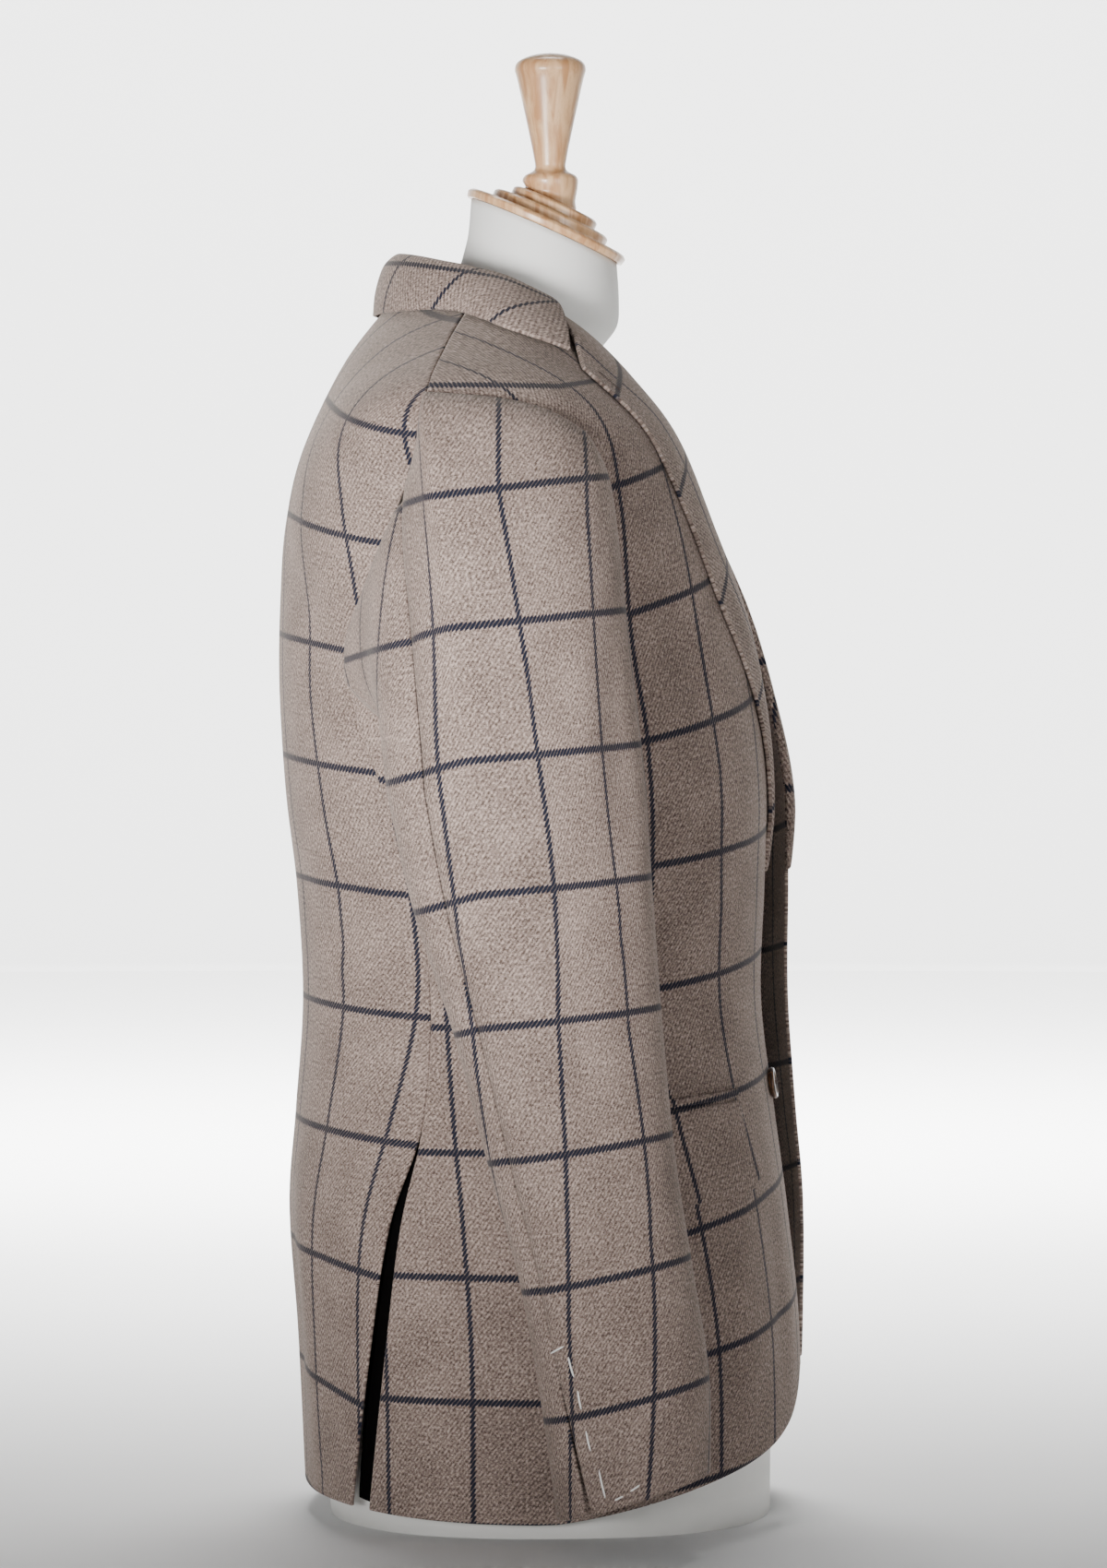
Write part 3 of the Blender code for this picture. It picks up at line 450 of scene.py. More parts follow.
# Soft lights: name, place, aim, size, spread in degrees, power
LIGHTS = (
    ("key", (-1.60, 0.74, 0.46), (0.0, 0.04, 0.61), 0.6, 43.0, 4.8),
    ("fill", (-2.2, -1.3, 0.50), (0.0, -0.1, 0.64), 1.0, 38.0, 1.8),
    ("backdrop", (3.4, 0.0, 3.4), (8.0, 0.0, 0.4), 4.0, 160.0, 1100.0),
    ("floor", (2.7, 0.0, 4.4), (2.5, 0.0, 0.0), 2.0, 62.0, 190.0),
)
WORLD_WHITE = (1.0, 1.0, 1.0, 1.0)
WORLD_STRENGTH = 0.05


def unit(vectors):
    """Vectors divided by their own lengths."""
    return vectors / np.maximum(np.linalg.norm(vectors, axis=-1, keepdims=True), 1e-12)


def through_rows(table, place):
    """Cubic curve through evenly numbered rows: Hermite blend with slopes from the rows on either side."""
    place = np.asarray(place, float)
    row = np.clip(np.floor(place).astype(int), 0, len(table) - 2)
    part = (place - row)[..., None]
    slope = np.gradient(table, axis=0)
    start = table[row] * (1 + 2 * part) * (1 - part) ** 2 + slope[row] * part * (1 - part) ** 2
    end = table[row + 1] * part ** 2 * (3 - 2 * part) + slope[row + 1] * part ** 2 * (part - 1)
    return start + end


def along(table, column, place):
    """Cubic curve through a table whose first column is the place, at any spacing."""
    known = table[:, 0]
    value = table[:, column]
    slope = np.gradient(value, known)
    place = np.clip(np.asarray(place, float), known[0], known[-1])
    row = np.clip(np.searchsorted(known, place, side="right") - 1, 0, len(known) - 2)
    width = known[row + 1] - known[row]
    part = (place - known[row]) / width
    start = value[row] * (1 + 2 * part) * (1 - part) ** 2 + slope[row] * width * part * (1 - part) ** 2
    end = value[row + 1] * part ** 2 * (3 - 2 * part) + slope[row + 1] * width * part ** 2 * (part - 1)
    return start + end


def body_point(side, turn, ring):
    """Point on the body: each ring is a superellipse, x by the sine and y by the cosine of half a turn."""
    turn, ring = np.broadcast_arrays(np.asarray(turn, float), np.asarray(ring, float))
    values = through_rows(BODY_RINGS, ring)
    row = {name: values[..., index] for index, name in enumerate(RING_COLUMNS)}
    sine = np.sin(turn * np.pi)
    cosine = np.cos(turn * np.pi)
    bend = 2 / row["power"]
    y_front = row["y_front_right"] if side < 0 else row["y_front_left"]
    y_end = np.where(cosine > 0, row["y_back"], y_front)
    z_end = np.where(cosine > 0, row["z_back"], row["z_front"])
    x = side * row["half_width"] * np.sign(sine) * np.abs(sine) ** bend
    y = row["y_side"] + (y_end - row["y_side"]) * np.abs(cosine) ** bend
    z = row["z_side"] * sine ** 2 + z_end * cosine ** 2
    return np.stack((x, y, z), axis=-1)


def body_normal(side, turn, ring):
    """Outward direction of the body surface, from small steps in turn and ring."""
    turn, ring = np.broadcast_arrays(np.asarray(turn, float), np.asarray(ring, float))
    around = body_point(side, turn + STEP_TURN, ring) - body_point(side, turn - STEP_TURN, ring)
    low = np.clip(ring - STEP_RING, 0, HEM_RING)
    high = np.clip(ring + STEP_RING, 0, HEM_RING)
    down = body_point(side, turn, high) - body_point(side, turn, low)
    return side * unit(np.cross(around, down))


def turn_at_gap(ring, half_gap):
    """Turn on the front where the body lies half_gap from the middle plane."""
    row = through_rows(BODY_RINGS, np.asarray(ring, float))
    share = np.clip(half_gap / row[..., 4], 0, 1)
    return 1 - np.arcsin(share ** (row[..., 8] / 2)) / np.pi


def front_edge_turn(ring):
    """Turn of the roll line above the break point and of the free edge below it."""
    return turn_at_gap(ring, np.interp(ring, EDGE_RINGS, EDGE_HALF_GAPS))


def front_rings(turn, ring):
    """Rings ahead of the side, where the hem rises steadily and then rounds up into the front edge."""
    reach = np.clip((turn - CORNER_START_TURN) / (CORNER_END_TURN - CORNER_START_TURN), 0, 1)
    rise = CORNER_RISE_RINGS * reach ** CORNER_POWER + CORNER_ROUND_RINGS * reach ** CORNER_ROUND_POWER
    low = np.clip((ring - BREAK_RING) / (HEM_RING - BREAK_RING), 0, 1)
    return ring - rise * low ** 2


def underarm_ring(turn):
    """Ring of the armhole's lowest stretch, a rounded dip between its back and its front."""
    back, front = ARMHOLE[-1, 1], ARMHOLE[-1, 2]
    part = np.clip((turn - back) / (front - back), 0, 1)
    return UNDERARM_RING + UNDERARM_DROP * np.sin(np.pi * part) ** UNDERARM_ROUND


def even_steps(count):
    """Steps from 0 to 1 with one extra step close to each end, so that edges can round over."""
    steps = np.linspace(0, 1, count)
    near = EDGE_STEP / (count - 1)
    return np.concatenate((steps[:1], (near,), steps[1:-1], (1 - near,), steps[-1:]))


def crease_field(points, creases, side):
    """Height of all creases at points: each row is a bell across its line that fades out at both ends."""
    rows = creases[(creases[:, 0] == 0) | (creases[:, 0] == side)]
    start = rows[:, 1:4] * (side, 1, 1)
    run = rows[:, 4:7] * (side, 1, 1) - start
    offset = points[..., None, :] - start
    place = (offset * run).sum(axis=-1) / (run * run).sum(axis=-1)
    held = np.clip(place, 0, 1)
    away = np.linalg.norm(offset - held[..., None] * run, axis=-1)
    fade = np.sin(np.pi * np.clip(held, CREASE_END, 1 - CREASE_END)) ** CREASE_FADE
    return (rows[:, 8] * np.exp(-(away / rows[:, 7]) ** 2) * fade).sum(axis=-1)


def grid_normal(points, hint):
    """Directions square to a grid of points, on the same side as the hint."""
    normal = unit(np.cross(np.gradient(points, axis=1), np.gradient(points, axis=0)))
    return normal * np.sign((normal * hint).sum(axis=-1, keepdims=True))


def arc_lengths(points, axis):
    """Running length along one axis of a grid of points."""
    steps = np.linalg.norm(np.diff(points, axis=axis), axis=-1)
    start = np.zeros_like(np.take(steps, [0], axis=axis))
    return np.concatenate((start, np.cumsum(steps, axis=axis)), axis=axis)


def pulled_in(points, normal):
    """Grid with its four edges drawn in and dipped a little, so that seams read as shallow valleys."""
    out = points.copy()
    out[0] += unit(points[1] - points[0]) * EDGE_INSET - normal[0] * SEAM_DIP
    out[-1] += unit(points[-2] - points[-1]) * EDGE_INSET - normal[-1] * SEAM_DIP
    out[:, 0] += unit(points[:, 1] - points[:, 0]) * EDGE_INSET - normal[:, 0] * SEAM_DIP
    out[:, -1] += unit(points[:, -2] - points[:, -1]) * EDGE_INSET - normal[:, -1] * SEAM_DIP
    return out


def edge_loop(rows, columns):
    """Indices round the border of a grid, once round."""
    index = np.arange(rows * columns).reshape(rows, columns)
    return np.concatenate((index[0, :-1], index[:-1, -1], index[-1, :0:-1], index[:0:-1, 0]))


def quads_of(rows, columns, first):
    """Four-cornered faces of a grid whose vertices start at first."""
    index = first + np.arange(rows * columns).reshape(rows, columns)
    corners = (index[:-1, :-1], index[:-1, 1:], index[1:, 1:], index[1:, :-1])
    return np.stack(corners, axis=-1).reshape(-1, 4)


def new_object(name, vertices, faces, uv, material):
    """Mesh object from arrays, with smooth faces and a UV map in metres."""
    mesh = bpy.data.meshes.new(name)
    mesh.from_pydata(vertices.tolist(), [], faces.tolist())
    layer = mesh.uv_layers.new(name="cut")
    corner = np.empty(len(mesh.loops), dtype=np.int32)
    mesh.loops.foreach_get("vertex_index", corner)
    layer.data.foreach_set("uv", np.asarray(uv, np.float32)[corner].ravel())
    mesh.polygons.foreach_set("use_smooth", np.ones(len(mesh.polygons), dtype=bool))
    mesh.materials.append(material)
    mesh.update()
    made = bpy.data.objects.new(name, mesh)
    bpy.context.scene.collection.objects.link(made)
    return made


def cloth_wall(name, points, hint, uv, material, thick=CLOTH_THICK):
    """Closed cloth wall: the outer grid, the same grid a thickness in, and a half-round rim between."""
    rows, columns = points.shape[:2]
    normal = grid_normal(points, hint)
    outer = pulled_in(points, normal)
    inner = outer - normal * thick
    loop = edge_loop(rows, columns)
    flat_outer = outer.reshape(-1, 3)
    flat_normal = normal.reshape(-1, 3)
    row_in = np.clip(loop // columns, 1, rows - 2)
    column_in = np.clip(loop % columns, 1, columns - 2)
    inside = flat_outer[row_in * columns + column_in]
    border = flat_outer[loop]
    tangent = np.roll(border, -1, axis=0) - np.roll(border, 1, axis=0)
    outward = unit(np.cross(tangent, flat_normal[loop]))
    outward = outward * np.sign(((border - inside) * outward).sum())
    angles = np.radians(RIM_DEGREES)[:, None, None]
    rim = (border - flat_normal[loop] * thick * (1 - np.cos(angles)) / 2
           + outward * thick * RIM_ROUND * np.sin(angles))
    vertices = np.concatenate((flat_outer, inner.reshape(-1, 3), rim.reshape(-1, 3)))
    size = rows * columns
    rim_index = 2 * size + np.arange(rim.size // 3).reshape(len(RIM_DEGREES), -1)
    bands = np.concatenate((loop[None], rim_index, loop[None] + size))
    after = np.roll(bands, -1, axis=1)
    sides = np.stack((bands[:-1], bands[1:], after[1:], after[:-1]), axis=-1).reshape(-1, 4)
    faces = np.concatenate((quads_of(rows, columns, 0), quads_of(rows, columns, size)[:, ::-1], sides))
    corners = vertices[faces]
    swept = np.cross(corners[:, 2] - corners[:, 0], corners[:, 3] - corners[:, 1])
    if (swept * corners.mean(axis=1)).sum() < 0:
        faces = faces[:, ::-1]
    flat_uv = uv.reshape(-1, 2)
    all_uv = np.concatenate((flat_uv, flat_uv, np.tile(flat_uv[loop], (len(RIM_DEGREES), 1))))
    return new_object(name, vertices, faces, all_uv, material)


def arc_to(side, turn, ring, end_turn):
    """Length along a ring from each turn to end_turn, summed over short steps."""
    turn, ring = np.broadcast_arrays(np.asarray(turn, float), np.asarray(ring, float))
    share = np.linspace(0, 1, ARC_SAMPLES)
    turns = turn[..., None] + (end_turn - turn[..., None]) * share
    steps = np.diff(body_point(side, turns, ring[..., None] + 0 * turns), axis=-2)
    return np.linalg.norm(steps, axis=-1).sum(axis=-1)


def stretched_level(level, stretch):
    """Height along the cloth: the level, and more of it over the shoulder where the cloth leans in."""
    return level + stretch * np.maximum(0, level - YOKE_START) ** 2 - CHECK_LOW_LINE


def front_cut(side, turn, ring, points):
    """Cut coordinates of the front: across from the centre front, up with lines that rise to the edge."""
    across = along(FRONT_LINE, 1, ring) - arc_to(side, turn, ring, 1.0)
    reach = np.clip((turn - FRONT_RISE_START) / (front_edge_turn(ring) - FRONT_RISE_START), 0, 1)
    level = points[..., 2] - FRONT_LIFT - along(FRONT_RISE, 1, points[..., 2]) * reach
    return np.stack((-side * across, stretched_level(level, FRONT_STRETCH)), axis=-1)


def side_cut(side, turn, ring, points):
    """Cut coordinates of the side panel, across from its front seam and up from a lowered check."""
    across = SIDE_LINE - arc_to(side, turn, ring, FRONT_SEAM_TURN)
    return np.stack((-side * across, points[..., 2] + SIDE_DROP - CHECK_LOW_LINE), axis=-1)


def back_surface(side):
    """Back half: rings down, and across from the centre back to shoulder seam, armhole and side seam."""
    ring = even_steps(BACK_GRID[0])[:, None] * HEM_RING
    edge = np.where(ring <= UNDERARM_RING, along(ARMHOLE, 1, ring), along(SIDE_BACK_SEAM, 1, ring))
    turn = edge * even_steps(BACK_GRID[1])[None, :]
    ring = ring + 0 * turn
    points = body_point(side, turn, ring)
    normal = body_normal(side, turn, ring)
    across = arc_to(side, turn, ring, 0.0) * along(BACK_SPREAD, 1, points[..., 2])
    level = points[..., 2] + along(BACK_DROP, 1, points[..., 2]) * np.sin(turn * np.pi) ** 2
    cut = np.stack((-side * across, stretched_level(level, BACK_STRETCH)), axis=-1)
    return points + normal * crease_field(points, BACK_CREASES, side)[..., None], normal, cut


def side_surface(side):
    """Side panel: rows from the rounded underarm to the hem, between the two side seams."""
    down = even_steps(SIDE_GRID[0])[:, None]
    share = even_steps(SIDE_GRID[1])[None, :]
    seam_ring = UNDERARM_RING + (HEM_RING - UNDERARM_RING) * down
    top = underarm_ring(ARMHOLE[-1, 1] + (ARMHOLE[-1, 2] - ARMHOLE[-1, 1]) * share)
    back = along(SIDE_BACK_SEAM, 2, seam_ring)
    turn = back + (FRONT_SEAM_TURN - back) * share
    ring = front_rings(turn, top + (HEM_RING - top) * down)
    points = body_point(side, turn, ring)
    normal = body_normal(side, turn, ring)
    cut = side_cut(side, turn, ring, points)
    return points + normal * crease_field(points, SIDE_CREASES, side)[..., None], normal, cut


def underlap_surface(side):
    """Strip that leaves the side panel's edge and sinks in an even slope under the edge of the vent."""
    share = np.linspace(0, 1, UNDERLAP_GRID[1])[None, :]
    ring = np.linspace(*VENT_UNDERLAP_RINGS, UNDERLAP_GRID[0])[:, None]
    front = along(SIDE_BACK_SEAM, 2, ring) + VENT_UNDERLAP_TUCK
    turn = front - VENT_UNDERLAP_TURN * share
    ring = ring + 0 * turn
    points = body_point(side, turn, ring)
    normal = body_normal(side, turn, ring)
    inset = VENT_UNDERLAP_INSETS[0] + (VENT_UNDERLAP_INSETS[1] - VENT_UNDERLAP_INSETS[0]) * share
    return points - normal * inset[..., None], normal, side_cut(side, turn, ring, points)


def front_surface(side):
    """Front: rows packed close where the armhole turns over, from the armhole to the roll line and edge."""
    shoulder = np.linspace(0, SHOULDER_LAST, FRONT_SHOULDER_ROWS)
    rounded = ARMHOLE_TOP + ARMHOLE_ROUND * np.linspace(0, 1, FRONT_ARMHOLE_ROWS) ** 2
    straight = np.linspace(*ARMHOLE_STRAIGHT, FRONT_ARMHOLE_ROWS)
    rest = UNDERARM_RING + (HEM_RING - UNDERARM_RING) * even_steps(FRONT_GRID[0])
    ring = np.concatenate((shoulder, rounded, straight, rest))[:, None]
    edge = np.where(ring <= UNDERARM_RING, along(ARMHOLE, 2, ring), FRONT_SEAM_TURN)
    turn = edge + (front_edge_turn(ring) - edge) * even_steps(FRONT_GRID[1])[None, :]
    ring = front_rings(turn, ring + 0 * turn)
    points = body_point(side, turn, ring)
    normal = body_normal(side, turn, ring)
    cut = front_cut(side, turn, ring, points)
    return points + normal * crease_field(points, FRONT_CREASES, side)[..., None], normal, cut


def lapel_grid(rows, columns):
    """Turns, rings and shares of the lapel between the roll line and its own edge, with its slanted top."""
    across = columns[None, :]
    down = rows[:, None] ** LAPEL_ROW_POWER
    inner_ring = LAPEL_TOP[0, 1] + (LAPEL_END_RING - LAPEL_TOP[0, 1]) * down
    outer_ring = LAPEL_TOP[-1, 1] + (LAPEL_END_RING - LAPEL_TOP[-1, 1]) * down
    inner_turn = front_edge_turn(inner_ring)
    outer_turn = turn_at_gap(outer_ring, along(LAPEL_EDGE, 1, outer_ring))
    top = through_rows(LAPEL_TOP, across[0] * (len(LAPEL_TOP) - 1))
    ring = inner_ring + (outer_ring - inner_ring) * across
    turn = inner_turn + (outer_turn - inner_turn) * across
    fade = np.clip(1 - down / LAPEL_TOP_FADE, 0, 1)
    turn = turn + fade * (top[None, :, 0] - turn[:1])
    ring = ring + fade * (top[None, :, 1] - ring[:1])
    return turn, ring, across, down


def lapel_bulge(across, down):
    """How far the lapel stands off its flat layer: a half wave across that fades down the lapel."""
    wave = np.sin(np.pi * np.clip(across / LAPEL_BULGE_END, 0, 1))
    return LAPEL_BULGE * wave * (1 - LAPEL_BULGE_FADE * down)


def lapel_surface(side):
    """Lapel: a half-round roll out of the front's edge, then a full, soft layer over the front."""
    turn, ring, across, down = lapel_grid(*(even_steps(count) for count in LAPEL_GRID))
    lift = (LAY_GAP + CLOTH_THICK) * np.clip((1 - down) / LAPEL_END_FADE, 0, 1) ** LAPEL_LIFT_POWER
    normal = body_normal(side, turn, ring)
    face = body_point(side, turn, ring) + normal * (lift + lapel_bulge(across, down))[..., None]
    lift = lift[..., None]
    edge = body_point(side, turn[:, :1], ring[:, :1])
    ahead = unit(body_point(side, turn[:, :1] + ROLL_STEP_TURN, ring[:, :1]) - edge)
    middle = edge + normal[:, :1] * (lift - CLOTH_THICK) / 2
    angle = np.radians(np.linspace(*ROLL_DEGREES, ROLL_COLUMNS))[None, :, None]
    way = np.sin(angle) * normal[:, :1] + np.cos(angle) * ahead
    roll = middle + way * (lift + CLOTH_THICK) / 2
    points = np.concatenate((roll, face), axis=1)
    hint = np.concatenate((way, normal), axis=1)
    across_cut = arc_lengths(points, 1)
    up_cut = arc_lengths(points[:, -1:], 0)
    across_cut = across_cut[:, -1:] - across_cut - LAPEL_LINE_SHARE * CHECK_WIDE
    cut = np.stack((side * across_cut, LAPEL_LEVEL - up_cut + 0 * across_cut), axis=-1)
    return points, hint, cut


def collar_surface():
    """Collar from the right gorge round the neck to the left: up the stand, over the fold, down the fall."""
    stations, rows = COLLAR_GRID
    row = through_rows(COLLAR, np.linspace(0, len(COLLAR) - 1, stations))
    foot = body_point(1, row[:, 0], 0 * row[:, 0])
    away = unit(foot * (1, 1, 0) - np.array((0, BODY_RINGS[0, 3], 0)))
    bottom = foot - away * CLOTH_THICK + UP * COLLAR_LIFT
    fold = bottom + UP * row[:, 1:2] + away * row[:, 2:3]
    fall_normal = body_normal(1, row[:, 3], row[:, 4])
    edge = body_point(1, row[:, 3], row[:, 4]) + fall_normal * (LAY_GAP + CLOTH_THICK)
    shoulder_in = bottom + (fold - bottom) * COLLAR_STAND_SHARE - away * COLLAR_STAND_IN
    shoulder_out = fold + away * COLLAR_ROLL_OUT + (edge - fold) * COLLAR_ROLL_SHARE + UP * COLLAR_ROLL_UP
    middle = shoulder_out + (edge - shoulder_out) * COLLAR_FALL_SHARE
    middle = middle + away * COLLAR_FALL_OUT + UP * COLLAR_FALL_UP
    lines = np.stack((bottom, shoulder_in, fold + away * COLLAR_FOLD_OUT, shoulder_out, middle, edge))
    last = len(lines) - 1
    curve = through_rows(lines.reshape(last + 1, -1), even_steps(rows) * last).reshape(-1, stations, 3)
    half = curve.transpose(1, 0, 2)
    face = np.concatenate((half[:0:-1] * (-1, 1, 1), half))
    hint = np.cross(np.gradient(face, axis=0), np.gradient(face, axis=1))
    top = face[..., 2].argmax(axis=1)[stations - 1]
    length = arc_lengths(face[:, top:top + 1], 0)
    length = length - length[stations - 1]
    below = arc_lengths(face, 1)
    below = below - below[:, top:top + 1]
    shear = np.clip(np.abs(length) / COLLAR_SHEAR_LENGTH, 0, 1)
    across = length + np.sign(length) * shear * below
    cut = np.stack((across - np.sign(length) * COLLAR_LINE, COLLAR_LEVEL - below), axis=-1)
    return face, hint, cut


def sleeve_loop(side):
    """Armhole as the sleeve meets it, up the front, over the top, down the back and underneath.

    Gives the points, the way the cloth leaves, each point's turn round the sleeve, the hindarm seam's
    index and the index where the underarm starts.
    """
    straight, rounded, back, under = LOOP_COUNTS
    front_ring = np.concatenate((np.linspace(LOOP_FOOT, ARMHOLE_STRAIGHT[0], straight),
                                 ARMHOLE_TOP + ARMHOLE_ROUND * np.linspace(1, 0, rounded) ** 2))
    back_ring = np.linspace(ARMHOLE_TOP, UNDERARM_RING, back)[1:]
    under_turn = np.linspace(ARMHOLE[-1, 1], ARMHOLE[-1, 2], under)[1:]
    turn = np.concatenate((along(ARMHOLE, 2, front_ring), along(ARMHOLE, 1, back_ring), under_turn))
    ring = np.concatenate((front_ring, back_ring, underarm_ring(under_turn)))
    points = body_point(side, turn, ring)
    middle = (points.min(axis=0) + points.max(axis=0)) / 2
    around = points - middle
    angle = np.degrees(np.arctan2(-around[:, 1], around[:, 2]))
    late = np.arange(len(angle)) >= len(front_ring)
    angle = np.where(late & (angle > CAP_WRAP_DEGREES), angle - 360, angle)
    points = points - unit(around * (0, 1, 1)) * SEAM_GAP + np.array((side * SEAM_GAP, 0, 0))
    level_normal = body_normal(side, turn, ring) * (1, 1, 0)
    leave = unit(np.array((side, 0, CAP_LEAVE_RISE)) + CAP_LEAVE_SHARE * level_normal)
    hind = len(front_ring) + int(np.abs(back_ring - HINDARM_RING).argmin())
    return points, leave, angle, hind, len(front_ring) + len(back_ring)


def sleeve_tube(side):
    """Rows from the armhole over the sleeve head, a Hermite blend, and down ovals to the slanted cuff."""
    loop, leave, start, hind, underarm = sleeve_loop(side)
    place = np.linspace(0, len(SLEEVE_SECTIONS) - 1, SLEEVE_ROWS)
    row = through_rows(SLEEVE_SECTIONS, place)[:, :, None]
    slant = CUFF_SLANT * np.clip((place - CUFF_SLANT_START) / (place[-1] - CUFF_SLANT_START), 0, 1)[:, None]
    hind_turn = row[:, 5]
    share = (start - start[hind]) / (start[0] - start[hind])
    under_share = (start - start[hind]) / (start[0] - 360 - start[hind])
    upper = hind_turn + share * (SLEEVE_FRONT_TURN - hind_turn)
    under = hind_turn + under_share * (SLEEVE_FRONT_TURN - 360 - hind_turn)
    angle = np.radians(np.where(np.arange(len(start)) <= hind, upper, under))
    y_middle = (row[:, 1] + row[:, 2]) / 2
    y = y_middle - (row[:, 1] - row[:, 2]) / 2 * np.sin(angle)
    x = side * (row[:, 3] + row[:, 4] * np.cos(angle))
    arm = np.stack((x, y, row[:, 0] + slant * (y - y_middle)), axis=-1)
    part = np.linspace(0, 1, CAP_ROWS + 1)[:-1, None, None]
    reach = np.linalg.norm(arm[0] - loop, axis=-1, keepdims=True)
    arrive = CAP_ARRIVE * reach * SLEEVE_CAP_DOWN
    cap = (loop * (1 + 2 * part) * (1 - part) ** 2 + leave * reach * SLEEVE_CAP_OUT * part * (1 - part) ** 2
           + arm[0] * part ** 2 * (3 - 2 * part) + arrive * part ** 2 * (part - 1))
    tube = np.concatenate((cap, arm))
    return np.concatenate((tube, tube[:, :1]), axis=1), hind, underarm


def sleeve_surfaces(side):
    """Top and under sleeve of one tube, with creases, the open slit at the cuff and cut coordinates."""
    tube, hind, underarm = sleeve_tube(side)
    middle = tube.mean(axis=1, keepdims=True)
    hint = tube - middle
    normal = grid_normal(tube, hint)
    length = arc_lengths(tube, 1)
    y, z = tube[..., 1], tube[..., 2]
    y_main = along(SLEEVE_GRAIN, 1, z)
    crossing = (y[:, :underarm] > y_main[:, :underarm]).argmax(axis=1)
    rows = np.arange(len(tube))
    ahead = np.maximum(crossing, 1)
    gap_before = (y - y_main)[rows, ahead - 1]
    gap_after = (y - y_main)[rows, ahead]
    part = np.clip(gap_before / np.where(gap_before < gap_after, gap_before - gap_after, -1e-9), 0, 1)
    main_length = (length[rows, ahead - 1] * (1 - part) + length[rows, ahead] * part)[:, None]
    main_z = (z[rows, ahead - 1] * (1 - part) + z[rows, ahead] * part)[:, None]
    towards_front = CHECK_WIDE / along(SLEEVE_GRAIN, 2, main_z)
    towards_back = CHECK_WIDE / along(SLEEVE_GRAIN, 3, main_z)
    across = main_length - length
    across = across * np.where(across > 0, towards_front, towards_back)
    behind = np.maximum(0, y - y_main - SLEEVE_HIND_START)
    droop = SLEEVE_HIND_DROP * behind ** 2 / (behind + SLEEVE_HIND_EASE)
    level = z + along(SLEEVE_GRAIN, 4, z) * (y - y_main) + droop - SLEEVE_CHECK_Z
    up = SLEEVE_CHECK_LINE + level * SLEEVE_CHECK_SCALE - CHECK_LOW_LINE
    cut = np.stack((-side * across, up), axis=-1)
    from_seam = length - length[:, hind:hind + 1]
    above_slit = np.clip((z - SLIT_TOP) / HINDARM_FADE, 0, 1)
    valley = HINDARM_DIP * np.exp(-(from_seam / HINDARM_WIDE) ** 2) * above_slit
    tube = tube + normal * (crease_field(tube, SLEEVE_CREASES, side) - valley)[..., None]
    forward = unit(tube - np.roll(tube, -1, axis=1))
    forward[:, -1] = forward[:, -2]
    opening = SLIT_HALF * np.clip((SLIT_TOP - z) / (SLIT_TOP - SLIT_FOOT), 0, 1)
    spread = opening * np.exp(-(from_seam / SLIT_SPREAD) ** 2)
    upper = (tube + forward * spread[..., None])[:, :hind + 1]
    lower = (tube - forward * spread[..., None])[:, hind:]
    return (upper, normal[:, :hind + 1], cut[:, :hind + 1]), (lower, normal[:, hind:], cut[:, hind:])


def pocket_surface(side, flap):
    """Flap or jetting: turns and rings on the front, the flap's foot slanted and rounded at its corners."""
    across = even_steps(FLAP_GRID[1])[None, :]
    down = even_steps(FLAP_GRID[0] if flap else JETTING_ROWS)[:, None]
    start = POCKET_GAP_RINGS if flap else -JETTING_RINGS_DEEP - POCKET_GAP_RINGS
    depth = FLAP_RINGS_DEEP if flap else JETTING_RINGS_DEEP
    corner = FLAP_CORNER * np.abs(2 * across - 1) ** FLAP_CORNER_POWER if flap else 0
    top_ring = FLAP_TOP_RINGS[0] + (FLAP_TOP_RINGS[1] - FLAP_TOP_RINGS[0]) * across
    ring = top_ring + start + depth * down * (1 - corner * down ** 2)
    slant = FLAP_SLANT if flap else 0
    turn = FLAP_TURNS[0] + (FLAP_TURNS[1] - FLAP_TURNS[0]) * across + slant * down + 0 * ring
    normal = body_normal(side, turn, ring)
    base = body_point(side, turn, ring)
    lift = LAY_GAP + CLOTH_THICK + crease_field(base, FRONT_CREASES, side) * POCKET_CREASE_SHARE
    if flap:
        wave = FLAP_WAVE * np.sin(across * FLAP_WAVE_RATE + side)
        lift = lift + FLAP_FLARE * down ** 2 + wave * down
    return base + normal * lift[..., None], normal, front_cut(side, turn, ring, base)


def new_material(name, roughness):
    """Material with a Principled shader, and the parts of its node tree that the finishes need."""
    material = bpy.data.materials.new(name)
    material.use_nodes = True
    tree = material.node_tree
    shader = tree.nodes["Principled BSDF"]
    shader.inputs["Roughness"].default_value = roughness
    return material, tree, shader


def add_node(tree, kind, inputs=None, **settings):
    """Node of a kind with its settings, and its inputs set to values or linked from sockets."""
    node = tree.nodes.new(kind)
    for name, value in settings.items():
        setattr(node, name, value)
    for name, value in (inputs or {}).items():
        if isinstance(value, bpy.types.NodeSocket):
            tree.links.new(value, node.inputs[name])
        else:
            node.inputs[name].default_value = value
    return node


def math_node(tree, operation, first, second=0.0, third=0.0):
    """Output of a Math node."""
    return add_node(tree, "ShaderNodeMath", {0: first, 1: second, 2: third}, operation=operation).outputs[0]


def noise(tree, place, scale, detail, distortion=0.0):
    """Value of a Noise texture at a place."""
    inputs = {"Vector": place, "Scale": scale, "Detail": detail, "Distortion": distortion}
    return add_node(tree, "ShaderNodeTexNoise", inputs).outputs["Fac"]


def drawn_out(tree, share):
    """Object coordinates with the upright one shortened, so that a texture runs long that way."""
    place = add_node(tree, "ShaderNodeTexCoord").outputs["Object"]
    return add_node(tree, "ShaderNodeMapping", {"Vector": place, "Scale": (1.0, 1.0, share)}).outputs[0]


